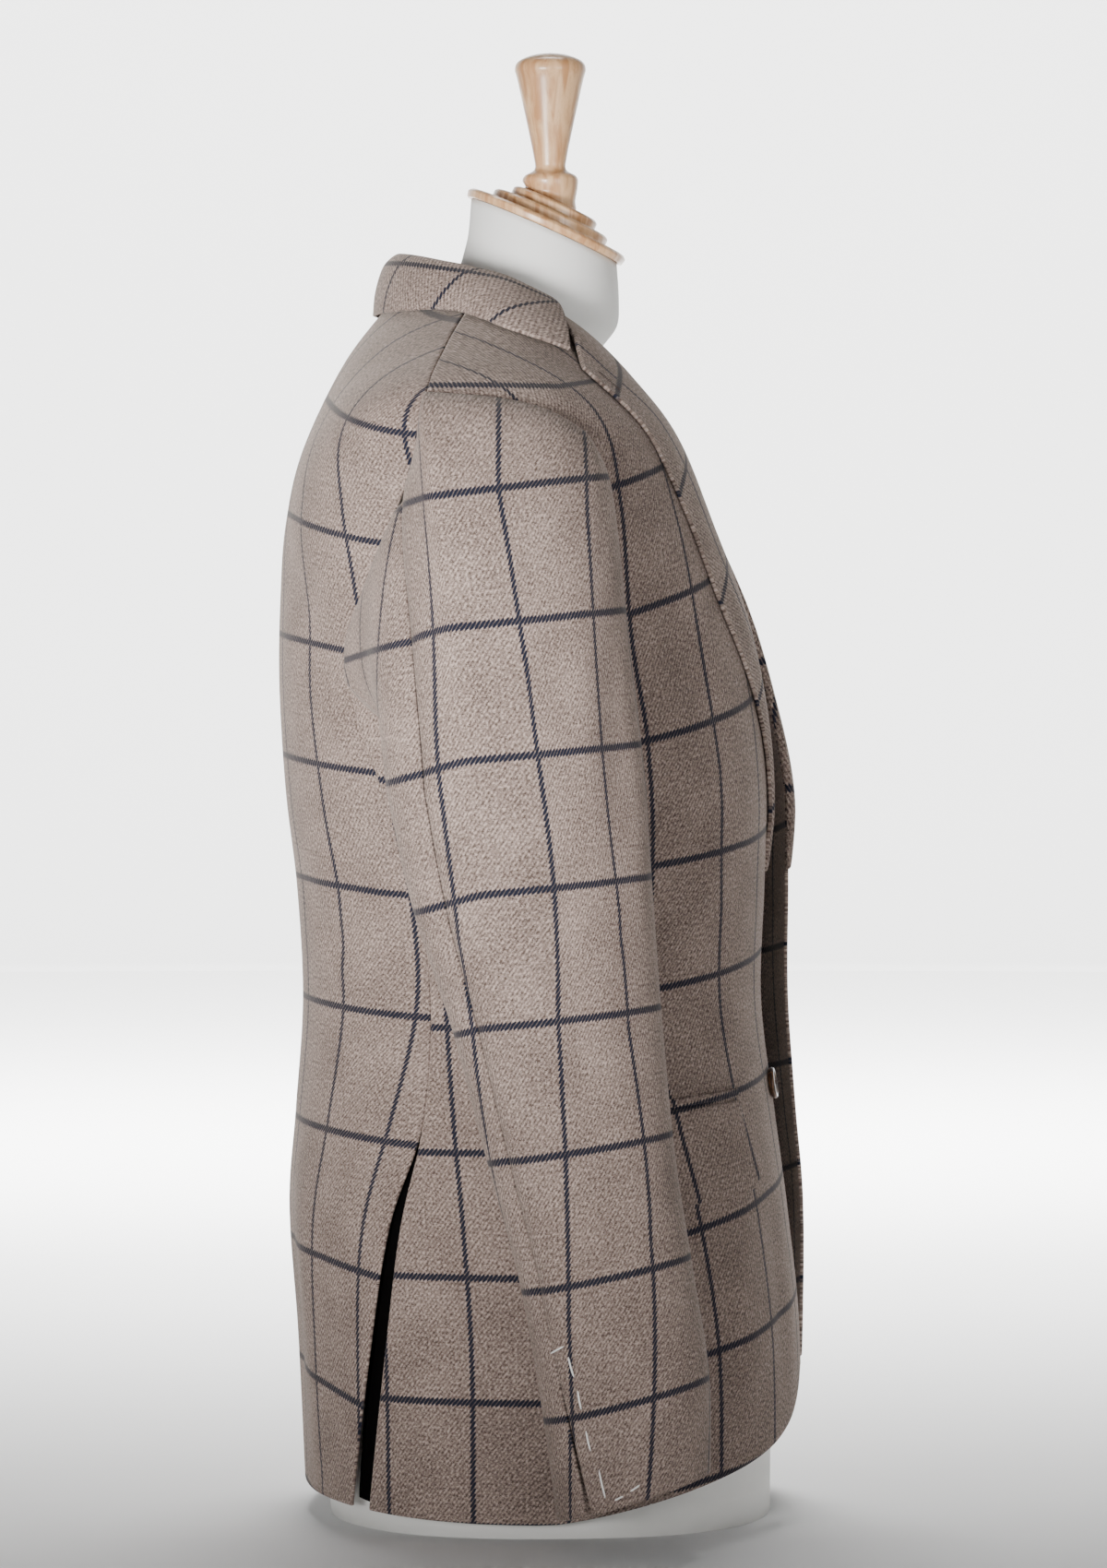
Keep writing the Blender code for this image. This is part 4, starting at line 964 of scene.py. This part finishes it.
def ramp_between(tree, factor, low, high):
    """Smooth step of a value from 0 at low to 1 at high."""
    node = add_node(tree, "ShaderNodeMapRange", {"Value": factor, "From Min": low, "From Max": high},
                    interpolation_type="SMOOTHSTEP")
    return node.outputs["Result"]


def mix_colours(tree, factor, first, second):
    """Colour between two, by a factor."""
    node = add_node(tree, "ShaderNodeMix", {0: factor, 6: first, 7: second}, data_type="RGBA")
    return node.outputs[2]


def add_bump(tree, shader, height, strength, distance):
    """Bump from a height, linked to the shader's normal."""
    node = add_node(tree, "ShaderNodeBump", {"Height": height, "Strength": strength, "Distance": distance})
    tree.links.new(node.outputs["Normal"], shader.inputs["Normal"])


def tweed_group(check_wide, check_tall):
    """Node group of the weave: slanted twill ribs, heathered flecks, check lines with saw-toothed edges."""
    group = bpy.data.node_groups.new("windowpane_tweed", "ShaderNodeTree")
    group.interface.new_socket("Cut", in_out="INPUT", socket_type="NodeSocketVector")
    group.interface.new_socket("Colour", in_out="OUTPUT", socket_type="NodeSocketColor")
    group.interface.new_socket("Height", in_out="OUTPUT", socket_type="NodeSocketFloat")
    cut = group.nodes.new("NodeGroupInput").outputs["Cut"]
    parts = add_node(group, "ShaderNodeSeparateXYZ", {0: cut})
    across, up = parts.outputs["X"], parts.outputs["Y"]
    sway = noise(group, cut, SWAY_SCALE, 1.0)
    slant = math_node(group, "MULTIPLY_ADD", across, TWILL_STEEPNESS, math_node(group, "MULTIPLY", up, -1.0))
    wobble = math_node(group, "MULTIPLY_ADD", sway, SWAY_LENGTH, slant)
    phase = math_node(group, "MULTIPLY", wobble, 2 * np.pi / TWILL_PITCH / TWILL_STRETCH)
    rib = math_node(group, "SINE", phase)
    rib = math_node(group, "MULTIPLY_ADD", rib, 0.5, 0.5)
    yarn = noise(group, cut, YARN_SCALE, 2.0)
    heather = noise(group, cut, HEATHER_SCALE, 3.0)
    cloud = noise(group, cut, CLOUD_SCALE, 2.0)
    heathered = math_node(group, "MULTIPLY", heather, HEATHER_SHARE)
    light = math_node(group, "MULTIPLY_ADD", rib, RIB_SHARE, heathered)
    light = math_node(group, "SUBTRACT", light, LIGHT_OFFSET)
    light = math_node(group, "MULTIPLY_ADD", cloud, CLOUD_SHARE, light)
    base = mix_colours(group, ramp_between(group, light, *LIGHT_RANGE), TWEED_BASE, TWEED_LIGHT)
    dark = math_node(group, "MULTIPLY", ramp_between(group, light, *DARK_RANGE), DARK_SHARE)
    base = mix_colours(group, dark, base, TWEED_DARK)
    fleck = math_node(group, "MULTIPLY", ramp_between(group, yarn, *FLECK_RANGE), FLECK_SHARE)
    base = mix_colours(group, fleck, base, TWEED_FLECK)
    tooth = math_node(group, "MULTIPLY", math_node(group, "SUBTRACT", rib, 0.5), LINE_TOOTH)
    wide = math_node(group, "ADD", math_node(group, "PINGPONG", across, check_wide / 2), tooth)
    tall = math_node(group, "ADD", math_node(group, "PINGPONG", up, check_tall / 2), tooth)
    upright = ramp_between(group, wide, LINE_WIDE / 2 + LINE_SOFT, LINE_WIDE / 2 - LINE_SOFT)
    level = ramp_between(group, tall, LINE_TALL / 2 + LINE_SOFT, LINE_TALL / 2 - LINE_SOFT)
    line = math_node(group, "MAXIMUM", upright, level)
    dash = ramp_between(group, math_node(group, "MULTIPLY_ADD", yarn, 0.5, rib), *DASH_RANGE)
    kept = math_node(group, "MULTIPLY_ADD", dash, DASH_SHARE, 1 - DASH_SHARE)
    line = math_node(group, "MULTIPLY", line, kept)
    colour = mix_colours(group, line, base, TWEED_NAVY)
    height = math_node(group, "MULTIPLY_ADD", yarn, YARN_RELIEF, rib)
    ends = group.nodes.new("NodeGroupOutput")
    group.links.new(colour, ends.inputs["Colour"])
    group.links.new(height, ends.inputs["Height"])
    return group


def tweed_material(settings):
    """Milled wool twill: the weave group for colour and relief, rough, with a soft nap of sheen."""
    material, tree, shader = new_material("windowpane_tweed", 0.92)
    cut = add_node(tree, "ShaderNodeUVMap", uv_map="cut").outputs["UV"]
    group = tweed_group(settings.check_wide, settings.check_tall)
    weave = add_node(tree, "ShaderNodeGroup", node_tree=group)
    tree.links.new(cut, weave.inputs["Cut"])
    tree.links.new(weave.outputs["Colour"], shader.inputs["Base Color"])
    shader.inputs["Specular IOR Level"].default_value = 0.15
    shader.inputs["Sheen Weight"].default_value = 0.22
    shader.inputs["Sheen Roughness"].default_value = 0.45
    shader.inputs["Sheen Tint"].default_value = (0.80, 0.72, 0.64, 1.0)
    add_bump(tree, shader, weave.outputs["Height"], 0.35, 0.0004)
    return material


def plain_material(name, colour, roughness):
    """Material of one even colour."""
    material, _, shader = new_material(name, roughness)
    shader.inputs["Base Color"].default_value = colour
    return material


def vent_shade_material():
    """Near-black painted shade for the vent underlaps, standing for the deep shade inside the vent; dull, it
    gives back almost no light.
    """
    material, _, shader = new_material("vent_painted_shade", 1.0)
    shader.inputs["Base Color"].default_value = VENT_PAINTED_SHADE
    shader.inputs["Specular IOR Level"].default_value = 0.0
    return material


def cover_material():
    """Tight off-white cotton with a fine plain weave."""
    material, tree, shader = new_material("cotton_cover", 0.85)
    place = add_node(tree, "ShaderNodeTexCoord").outputs["Object"]
    weave = noise(tree, place, COVER_SCALE, 1.0)
    shader.inputs["Base Color"].default_value = COVER_WHITE
    add_bump(tree, shader, weave, 0.12, 0.0003)
    return material


def wood_material():
    """Varnished beech: long streaks up the grain, short flecks, and a clear coat."""
    material, tree, shader = new_material("varnished_beech", 0.42)
    grain = noise(tree, drawn_out(tree, GRAIN_LONG), GRAIN_SCALE, 4.0, 0.6)
    fleck = noise(tree, drawn_out(tree, RAY_LONG), RAY_SCALE, 2.0)
    colour = mix_colours(tree, ramp_between(tree, grain, *GRAIN_RANGE), WOOD_LIGHT, WOOD_DARK)
    rays = math_node(tree, "MULTIPLY", ramp_between(tree, fleck, *RAY_RANGE), RAY_SHARE)
    colour = mix_colours(tree, rays, colour, WOOD_DARK)
    tree.links.new(colour, shader.inputs["Base Color"])
    shader.inputs["Coat Weight"].default_value = 0.45
    shader.inputs["Coat Roughness"].default_value = 0.18
    add_bump(tree, shader, fleck, 0.06, 0.0003)
    return material


def horn_material():
    """Polished brown horn with paler streaks."""
    material, tree, shader = new_material("polished_horn", 0.28)
    streak = noise(tree, drawn_out(tree, STREAK_LONG), STREAK_SCALE, 3.0, 1.2)
    colour = mix_colours(tree, ramp_between(tree, streak, *STREAK_RANGE), HORN_DARK, HORN_LIGHT)
    tree.links.new(colour, shader.inputs["Base Color"])
    return material


def tubes(name, paths, normal, radius, material):
    """Round threads along many short paths at once, each with eight sides and rounded ends."""
    count, steps = paths.shape[:2]
    tangent = unit(np.gradient(paths, axis=1))
    out = unit(normal - (normal * tangent).sum(axis=-1, keepdims=True) * tangent)
    beside = np.cross(tangent, out)
    angle = np.linspace(0, 2 * np.pi, 9)[None, None, :-1, None]
    share = np.linspace(-1, 1, steps)
    taper = np.maximum(THREAD_END_GIRTH, 1 - np.abs(share) ** THREAD_END_POWER)
    girth = radius * np.sqrt(taper)[None, :, None, None]
    ring = paths[:, :, None] + girth * (np.cos(angle) * out[:, :, None] + np.sin(angle) * beside[:, :, None])
    index = np.arange(count * steps * 8).reshape(count, steps, 8)
    after = np.roll(index, -1, axis=2)
    walls = np.stack((index[:, :-1], index[:, 1:], after[:, 1:], after[:, :-1]), axis=-1).reshape(-1, 4)
    ends = np.concatenate((index[:, 0, ::-1], index[:, -1]))
    halves = np.concatenate((ends[:, (0, 1, 2, 3)], ends[:, (0, 3, 4, 7)], ends[:, (4, 5, 6, 7)]))
    vertices = ring.reshape(-1, 3)
    return new_object(name, vertices, np.concatenate((walls, halves)), vertices[:, 1:], material)


def sleeve_outside(side, y, z):
    """Point and outward direction on the outer half of the sleeve's oval at a depth and height."""
    table = SLEEVE_SECTIONS[::-1]
    y_back, y_front, x_middle, half_thick = (np.interp(z, table[:, 0], table[:, i]) for i in (1, 2, 3, 4))
    half_depth = (y_back - y_front) / 2
    sine = np.clip(((y_back + y_front) / 2 - y) / half_depth, -OVAL_END_SINE, OVAL_END_SINE)
    cosine = np.sqrt(1 - sine ** 2)
    points = np.stack((side * (x_middle + half_thick * cosine), y, z), axis=-1)
    normal = unit(np.stack((side * cosine / half_thick, -sine / half_depth, 0 * y), axis=-1))
    return points + normal * crease_field(points, SLEEVE_CREASES, side)[..., None], normal


def basting_thread(side, label, material):
    """White stitches down the open slit and along the cuff, each a low arch on the cloth."""
    share = np.linspace(0, 1, BASTING_STEPS)
    y = BASTING[:, :1] + (BASTING[:, 2:3] - BASTING[:, :1]) * share
    z = BASTING[:, 1:2] + (BASTING[:, 3:4] - BASTING[:, 1:2]) * share
    points, normal = sleeve_outside(side, y, z)
    arch = BASTING_RADIUS * (BASTING_ARCH[0] + BASTING_ARCH[1] * np.sin(np.pi * share))[None, :, None]
    return tubes("cuff_basting_" + label, points + normal * arch, normal, BASTING_RADIUS, material)


def buttonhole(name, start, end, normal, material):
    """Purled buttonhole: short stitches set all round a narrow slot, from its start to its end."""
    run = end - start
    length = np.linalg.norm(run)
    ahead = run / length
    beside = np.cross(normal, ahead)
    around = np.linspace(0, 2 * np.pi, HOLE_STITCHES, endpoint=False)
    drawn = np.cos(around) * HOLE_END_STRETCH
    place = np.clip(drawn, -1, 1) * (length / 2 - HOLE_STITCH_LONG)
    way = unit(np.stack((np.where(np.abs(drawn) > 1, np.cos(around), 0), np.sin(around)), axis=-1))
    share = np.linspace(0, 1, HOLE_STITCH_STEPS)[None, :]
    reach = HOLE_HALF_WIDE * HOLE_SLOT_SHARE + HOLE_STITCH_LONG * share
    along_slot = place[:, None] + way[:, :1] * reach
    across_slot = way[:, 1:] * reach
    lift = HOLE_RADIUS * (HOLE_LIFT_SHARE + np.sin(np.pi * share))
    middle = (start + end) / 2
    paths = (middle + along_slot[..., None] * ahead + across_slot[..., None] * beside
             + (lift + 0 * along_slot)[..., None] * normal)
    return tubes(name, paths, np.broadcast_to(normal, paths.shape), HOLE_RADIUS, material)


def turned_surface(profile, turns):
    """Points of a profile of radius and height turned about the upright axis, rows down the profile."""
    angle = np.linspace(0, 2 * np.pi, turns, endpoint=False)
    radius = profile[:, :1]
    return np.stack((radius * np.sin(angle), -radius * np.cos(angle), profile[:, 1:] + 0 * angle), axis=-1)


def rolled_object(name, points, material, closed=True):
    """Skin of rows that each run once round, with both end rows filled.

    An open skin has only its first row filled, and its walls face the other way.
    """
    rows, columns = points.shape[:2]
    index = np.arange(rows * columns).reshape(rows, columns)
    after = np.roll(index, -1, axis=1)
    walls = np.stack((index[:-1], index[1:], after[1:], after[:-1]), axis=-1).reshape(-1, 4)
    ends = [index[0].tolist(), index[-1, ::-1].tolist()]
    if not closed:
        walls = walls[:, [0, 3, 2, 1]]
        ends = ends[:1]
    mesh_faces = walls.tolist() + ends
    mesh = bpy.data.meshes.new(name)
    mesh.from_pydata(points.reshape(-1, 3).tolist(), [], mesh_faces)
    mesh.polygons.foreach_set("use_smooth", np.arange(len(mesh_faces)) < len(walls))
    mesh.materials.append(material)
    mesh.update()
    made = bpy.data.objects.new(name, mesh)
    bpy.context.scene.collection.objects.link(made)
    return made


def even_profile(profile, count):
    """Profile read at even lengths, with its corners eased by a short running mean."""
    length = np.concatenate(((0,), np.cumsum(np.linalg.norm(np.diff(profile, axis=0), axis=1))))
    place = np.linspace(0, length[-1], count)
    line = np.stack([np.interp(place, length, profile[:, column]) for column in (0, 1)], axis=-1)
    line[1:-1] = (line[:-2] + 2 * line[1:-1] + line[2:]) / 4
    line[1:-1] = (line[:-2] + 2 * line[1:-1] + line[2:]) / 4
    line[:, 0] = np.maximum(line[:, 0], AXIS_RADIUS)
    return line


def button_surface():
    """Button: its turned profile, with four round holes sunk in the dish, set square to the cloth."""
    side = SIDES["right"]
    turn = turn_at_gap(BUTTON_RING, BUTTON_INSET)
    normal = body_normal(side, turn, BUTTON_RING)
    seat = body_point(side, turn, BUTTON_RING) + normal * BUTTON_SEAT
    seat = seat + normal * crease_field(seat, FRONT_CREASES, side)
    beside = unit(np.cross(UP, normal))
    above = np.cross(normal, beside)
    local = turned_surface(even_profile(BUTTON_PROFILE, BUTTON_ROWS), TURNED_COLUMNS)
    holes = (np.abs(local[..., :2]) - BUTTON_HOLE_PLACE) / BUTTON_HOLE_RADIUS
    inside = BUTTON_HOLE_EDGE[0] - BUTTON_HOLE_EDGE[1] * np.linalg.norm(holes, axis=-1)
    sunk = np.clip(inside, 0, 1) * (local[..., 2] > BUTTON_FACE)
    height = local[..., 2] - BUTTON_HOLE_DEEP * sunk
    points = seat + local[..., :1] * beside + local[..., 1:2] * above + height[..., None] * normal
    return points, seat, beside, above, normal


def form_rows():
    """Rows of the form from its neck to its flat base: neck ovals, then the body drawn in by the ease."""
    turn = np.linspace(0, 2, TURNED_COLUMNS + 1)[None, :-1]
    side = SIDES["right"]
    height, y_middle, half_width, half_depth, tilt = (NECK_RINGS[:, i:i + 1] for i in range(5))
    forward = half_depth * np.cos(turn * np.pi)
    neck = np.stack((-half_width * np.sin(turn * np.pi), y_middle + forward * np.cos(tilt),
                     height + forward * np.sin(tilt)), axis=-1)
    folded = np.where(turn > 1, 2 - turn, turn)
    ring = FORM_RINGS[:, None]
    ease = np.interp(ring, FORM_EASE[:, 0], FORM_EASE[:, 1])
    ease = ease + FORM_FRONT_EASE * np.clip((folded - FORM_FRONT_TURNS[0]) / FORM_FRONT_TURNS[1], 0, 1)
    body = body_point(side, folded, ring) - body_normal(side, folded, ring) * ease[..., None]
    foot = body_point(side, folded, float(HEM_RING))[..., 2]
    body[..., 2] = body[..., 2] - foot * (ring / HEM_RING) ** FORM_SETTLE_POWER
    body[-1, :, 2] = 0
    body[..., 0] = body[..., 0] * np.where(turn > 1, -1, 1)
    rows = np.concatenate((neck, body))
    count = len(rows)
    place = np.linspace(0, count - 1, FORM_STEPS_A_RING * (count - 1) + 1)
    fine = through_rows(rows.reshape(count, -1), place)
    fine = fine.reshape(-1, rows.shape[1], 3)
    fine[..., 2] = np.maximum(fine[..., 2], 0)
    return fine


def cap_points():
    """Stepped neck cap, turned and then tilted about the X axis on the neck's top."""
    local = turned_surface(even_profile(CAP_PROFILE, CAP_PROFILE_ROWS), TURNED_COLUMNS)
    x, y, z = local[..., 0], local[..., 1], local[..., 2]
    cosine, sine = np.cos(CAP_TILT), np.sin(CAP_TILT)
    return CAP_BASE + np.stack((x, y * cosine - z * sine, y * sine + z * cosine), axis=-1)


def finial_points():
    """Upright finial, a cubic curve through its profile, its foot drawn onto the slope of the cap."""
    place = np.linspace(0, len(FINIAL_PROFILE) - 1, FINIAL_ROWS)
    profile = through_rows(FINIAL_PROFILE, place)
    profile[:, 0] = np.maximum(profile[:, 0], AXIS_RADIUS)
    points = turned_surface(profile, TURNED_COLUMNS)
    axis = np.array((0, -np.sin(CAP_TILT), np.cos(CAP_TILT)))
    seat = CAP_BASE + axis * (CAP_PROFILE[0, 1] + SEAM_GAP)
    slope = seat[2] - (points[..., 1] - seat[1]) * axis[1] / axis[2]
    low = np.clip((FINIAL_FOOT_TOP - points[..., 2]) / (FINIAL_FOOT_TOP - FINIAL_FOOT), 0, 1)
    points[..., 2] = points[..., 2] + low * (slope - FINIAL_FOOT)
    return points


def shared_material(name, maker, *facts):
    """Material of that name, made once."""
    return bpy.data.materials.get(name) or maker(*facts)


def cloth_of(settings):
    """The one tweed that every cloth piece is cut from."""
    return shared_material("windowpane_tweed", tweed_material, settings)


def settle(piece, slot, *nodes):
    """Ride the one body and stand for the solids named; the slot is not used."""
    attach(piece, "root")
    if nodes:
        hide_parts(*nodes)
    return piece


def sew(settings, name, surface, material=None, slot="wool_cloth"):
    """Cloth piece from a surface, with the coordinates of its flat cut as its UV map."""
    points, hint, cut = surface
    finish = material or cloth_of(settings)
    piece = cloth_wall(name + "_cloth", points, hint, cut, finish, settings.cloth_thick)
    settle(piece, slot, name)
    return piece


class BlazerSettings(bpy.types.PropertyGroup):
    """Sizes that the pieces share."""
    cloth_thick: bpy.props.FloatProperty(
        name="Cloth thickness", description="Thickness of every cloth wall",
        default=CLOTH_THICK, unit="LENGTH")
    check_wide: bpy.props.FloatProperty(
        name="Check width", description="Distance between upright check lines",
        default=CHECK_WIDE, unit="LENGTH")
    check_tall: bpy.props.FloatProperty(
        name="Check height", description="Distance between level check lines",
        default=CHECK_TALL, unit="LENGTH")
    light_share: bpy.props.FloatProperty(
        name="Light", description="Share of each studio light's power", default=1.0, min=0.0, max=4.0,
        subtype="FACTOR")


class BLAZER_OT_body(bpy.types.Operator):
    """Make the backs, side panels, vent underlaps and fronts"""
    bl_idname = "blazer.body"
    bl_label = "Body panels"

    def execute(self, context):
        settings = context.scene.blazer
        # The vent underlaps wear near-black painted shade, for the deep shade inside the vent
        dark = shared_material("vent_painted_shade", vent_shade_material)
        for label, side in SIDES.items():
            sew(settings, "back_" + label, back_surface(side))
            sew(settings, "side_" + label, side_surface(side))
            sew(settings, "vent_underlap_" + label, underlap_surface(side),
                dark, "vent_facing")
            sew(settings, "front_" + label, front_surface(side))
        return {"FINISHED"}


class BLAZER_OT_collar(bpy.types.Operator):
    """Make the collar and the two lapels"""
    bl_idname = "blazer.collar"
    bl_label = "Collar and lapels"

    def execute(self, context):
        settings = context.scene.blazer
        sew(settings, "collar", collar_surface())
        for label, side in SIDES.items():
            sew(settings, "lapel_" + label, lapel_surface(side))
        return {"FINISHED"}


class BLAZER_OT_sleeves(bpy.types.Operator):
    """Make the top and under sleeves"""
    bl_idname = "blazer.sleeves"
    bl_label = "Sleeves"

    def execute(self, context):
        settings = context.scene.blazer
        for label, side in SIDES.items():
            upper, lower = sleeve_surfaces(side)
            sew(settings, "top_sleeve_" + label, upper)
            sew(settings, "under_sleeve_" + label, lower)
        return {"FINISHED"}


class BLAZER_OT_pockets(bpy.types.Operator):
    """Make the pocket jettings and flaps"""
    bl_idname = "blazer.pockets"
    bl_label = "Pockets"

    def execute(self, context):
        settings = context.scene.blazer
        for label, side in SIDES.items():
            sew(settings, "pocket_jetting_" + label, pocket_surface(side, False))
            sew(settings, "pocket_flap_" + label, pocket_surface(side, True))
        return {"FINISHED"}


class BLAZER_OT_button(bpy.types.Operator):
    """Make the horn button and the thread that sews it on"""
    bl_idname = "blazer.button"
    bl_label = "Button"

    def execute(self, context):
        horn = shared_material("polished_horn", horn_material)
        silk = shared_material("silk_thread", plain_material, "silk_thread", SILK_BROWN, 0.6)
        points, seat, beside, above, normal = button_surface()
        settle(rolled_object("horn_button", points, horn), "horn", "button")
        share = np.linspace(-1, 1, BUTTON_THREAD_STEPS)[None, :, None]
        offsets = np.array((-BUTTON_HOLE_PLACE, BUTTON_HOLE_PLACE))[:, None, None]
        height = BUTTON_THREAD_TOP - BUTTON_THREAD_DIP * share ** 4
        paths = seat + offsets * beside + share * BUTTON_HOLE_PLACE * above + height * normal
        out = np.broadcast_to(normal, paths.shape)
        settle(tubes("button_thread", paths, out, BUTTON_THREAD_RADIUS, silk), "horn")
        return {"FINISHED"}


class BLAZER_OT_stitches(bpy.types.Operator):
    """Make the buttonholes and the white basting left at the cuffs"""
    bl_idname = "blazer.stitches"
    bl_label = "Stitches"

    def execute(self, context):
        silk = shared_material("silk_thread", plain_material, "silk_thread", SILK_BROWN, 0.6)
        cotton = shared_material("basting_cotton", plain_material, "basting_cotton", BASTING_WHITE, 0.8)
        for label, side in SIDES.items():
            settle(basting_thread(side, label, cotton), "form_cover")
        left = SIDES["left"]
        rows, columns = LAPEL_HOLE_GRID
        turn, ring = lapel_grid(np.linspace(0, 1, rows + 1), np.linspace(0, 1, columns + 1))[:2]
        ends = []
        for share_across, share_down in LAPEL_HOLE:
            spot = int(round(share_down * rows)), int(round(share_across * columns))
            normal = body_normal(left, turn[spot], ring[spot])
            lift = LAY_GAP + CLOTH_THICK + lapel_bulge(share_across, share_down)
            ends.append(body_point(left, turn[spot], ring[spot]) + normal * lift)
        # The right lapel's buttonhole is real stitching that also stands in as painted shade for the gap
        # under the lifted lapel edge
        for label, side in SIDES.items():
            flip = np.array((side, 1, 1))
            start, end = ends[0] * flip, ends[1] * flip
            settle(buttonhole("lapel_buttonhole_" + label, start, end, normal * flip, silk), "horn")
        spots = np.array([turn_at_gap(BUTTON_RING, inset) for inset in FRONT_HOLE_INSETS])
        points = body_point(left, spots, BUTTON_RING)
        normal = body_normal(left, spots.mean(), BUTTON_RING)
        settle(buttonhole("front_buttonhole", points[0], points[1], normal, silk), "horn")
        return {"FINISHED"}


class BLAZER_OT_form(bpy.types.Operator):
    """Make the covered form, its neck cap and its finial"""
    bl_idname = "blazer.form"
    bl_label = "Dress form"

    def execute(self, context):
        cover = shared_material("cotton_cover", cover_material)
        wood = shared_material("varnished_beech", wood_material)
        settle(rolled_object("covered_form", form_rows(), cover), "form_cover", "form_torso")
        settle(rolled_object("wooden_cap", cap_points(), wood), "turned_wood", "neck_cap")
        settle(rolled_object("wooden_finial", finial_points(), wood), "turned_wood", "finial")
        return {"FINISHED"}


class BLAZER_OT_stage(bpy.types.Operator):
    """Make the pale round floor with its rising rim, the soft lights and the camera"""
    bl_idname = "blazer.stage"
    bl_label = "Stage"

    def execute(self, context):
        scene = context.scene
        bend = np.linspace(0, np.pi / 2, FLOOR_BEND_ROWS)
        radius = np.concatenate((FLOOR_RADIUS + FLOOR_BEND * np.sin(bend), (FLOOR_RADIUS + FLOOR_BEND,)))
        height = np.concatenate((FLOOR_BEND * (1 - np.cos(bend)), (FLOOR_RISE,)))
        points = turned_surface(np.stack((radius, height), axis=-1), FLOOR_TURNS)
        pale = shared_material("floor_pale", plain_material, "floor_pale", FLOOR_PALE, 0.9)
        rolled_object("floor", points, pale, closed=False)
        for name, place, aim, size, spread, power in LIGHTS:
            towards = Vector(aim) - Vector(place)
            light = bpy.data.lights.new(name, "AREA")
            light.size = size
            light.spread = np.radians(spread)
            light.energy = power * scene.blazer.light_share
            lamp = bpy.data.objects.new(name, light)
            lamp.location = place
            lamp.rotation_euler = towards.to_track_quat("-Z", "Y").to_euler()
            scene.collection.objects.link(lamp)
        world = bpy.data.worlds.new("studio")
        world.use_nodes = True
        world.node_tree.nodes["Background"].inputs["Color"].default_value = WORLD_WHITE
        world.node_tree.nodes["Background"].inputs["Strength"].default_value = WORLD_STRENGTH
        scene.world = world
        lens = bpy.data.cameras.new("camera")
        lens.sensor_fit = "VERTICAL"
        lens.sensor_height = CAMERA_SENSOR
        lens.lens = CAMERA_LENS
        camera = bpy.data.objects.new("camera", lens)
        camera.location = CAMERA_PLACE
        towards = Vector(CAMERA_AIM) - Vector(CAMERA_PLACE)
        camera.rotation_euler = towards.to_track_quat("-Z", "Y").to_euler()
        scene.collection.objects.link(camera)
        scene.camera = camera
        return {"FINISHED"}


class BLAZER_PT_panel(bpy.types.Panel):
    """Sidebar panel with the shared sizes and one button for each operator"""
    bl_idname = "BLAZER_PT_panel"
    bl_label = "Blazer"
    bl_space_type = "VIEW_3D"
    bl_region_type = "UI"
    bl_category = "Blazer"

    def draw(self, context):
        for name in BlazerSettings.__annotations__:
            self.layout.prop(context.scene.blazer, name)
        for operator in OPERATORS:
            self.layout.operator(operator.bl_idname)


OPERATORS = (BLAZER_OT_body, BLAZER_OT_collar, BLAZER_OT_sleeves, BLAZER_OT_pockets, BLAZER_OT_button,
             BLAZER_OT_stitches, BLAZER_OT_form, BLAZER_OT_stage)
CLASSES = (BlazerSettings, *OPERATORS, BLAZER_PT_panel)


def register():
    for item in CLASSES:
        bpy.utils.register_class(item)
    bpy.types.Scene.blazer = bpy.props.PointerProperty(type=BlazerSettings)


def unregister():
    del bpy.types.Scene.blazer
    for item in reversed(CLASSES):
        bpy.utils.unregister_class(item)


def main():
    """Build every piece through its operator."""
    register()
    bpy.ops.blazer.body()
    bpy.ops.blazer.collar()
    bpy.ops.blazer.sleeves()
    bpy.ops.blazer.pockets()
    bpy.ops.blazer.button()
    bpy.ops.blazer.stitches()
    bpy.ops.blazer.form()
    bpy.ops.blazer.stage()


if __name__ == "__main__":
    main()
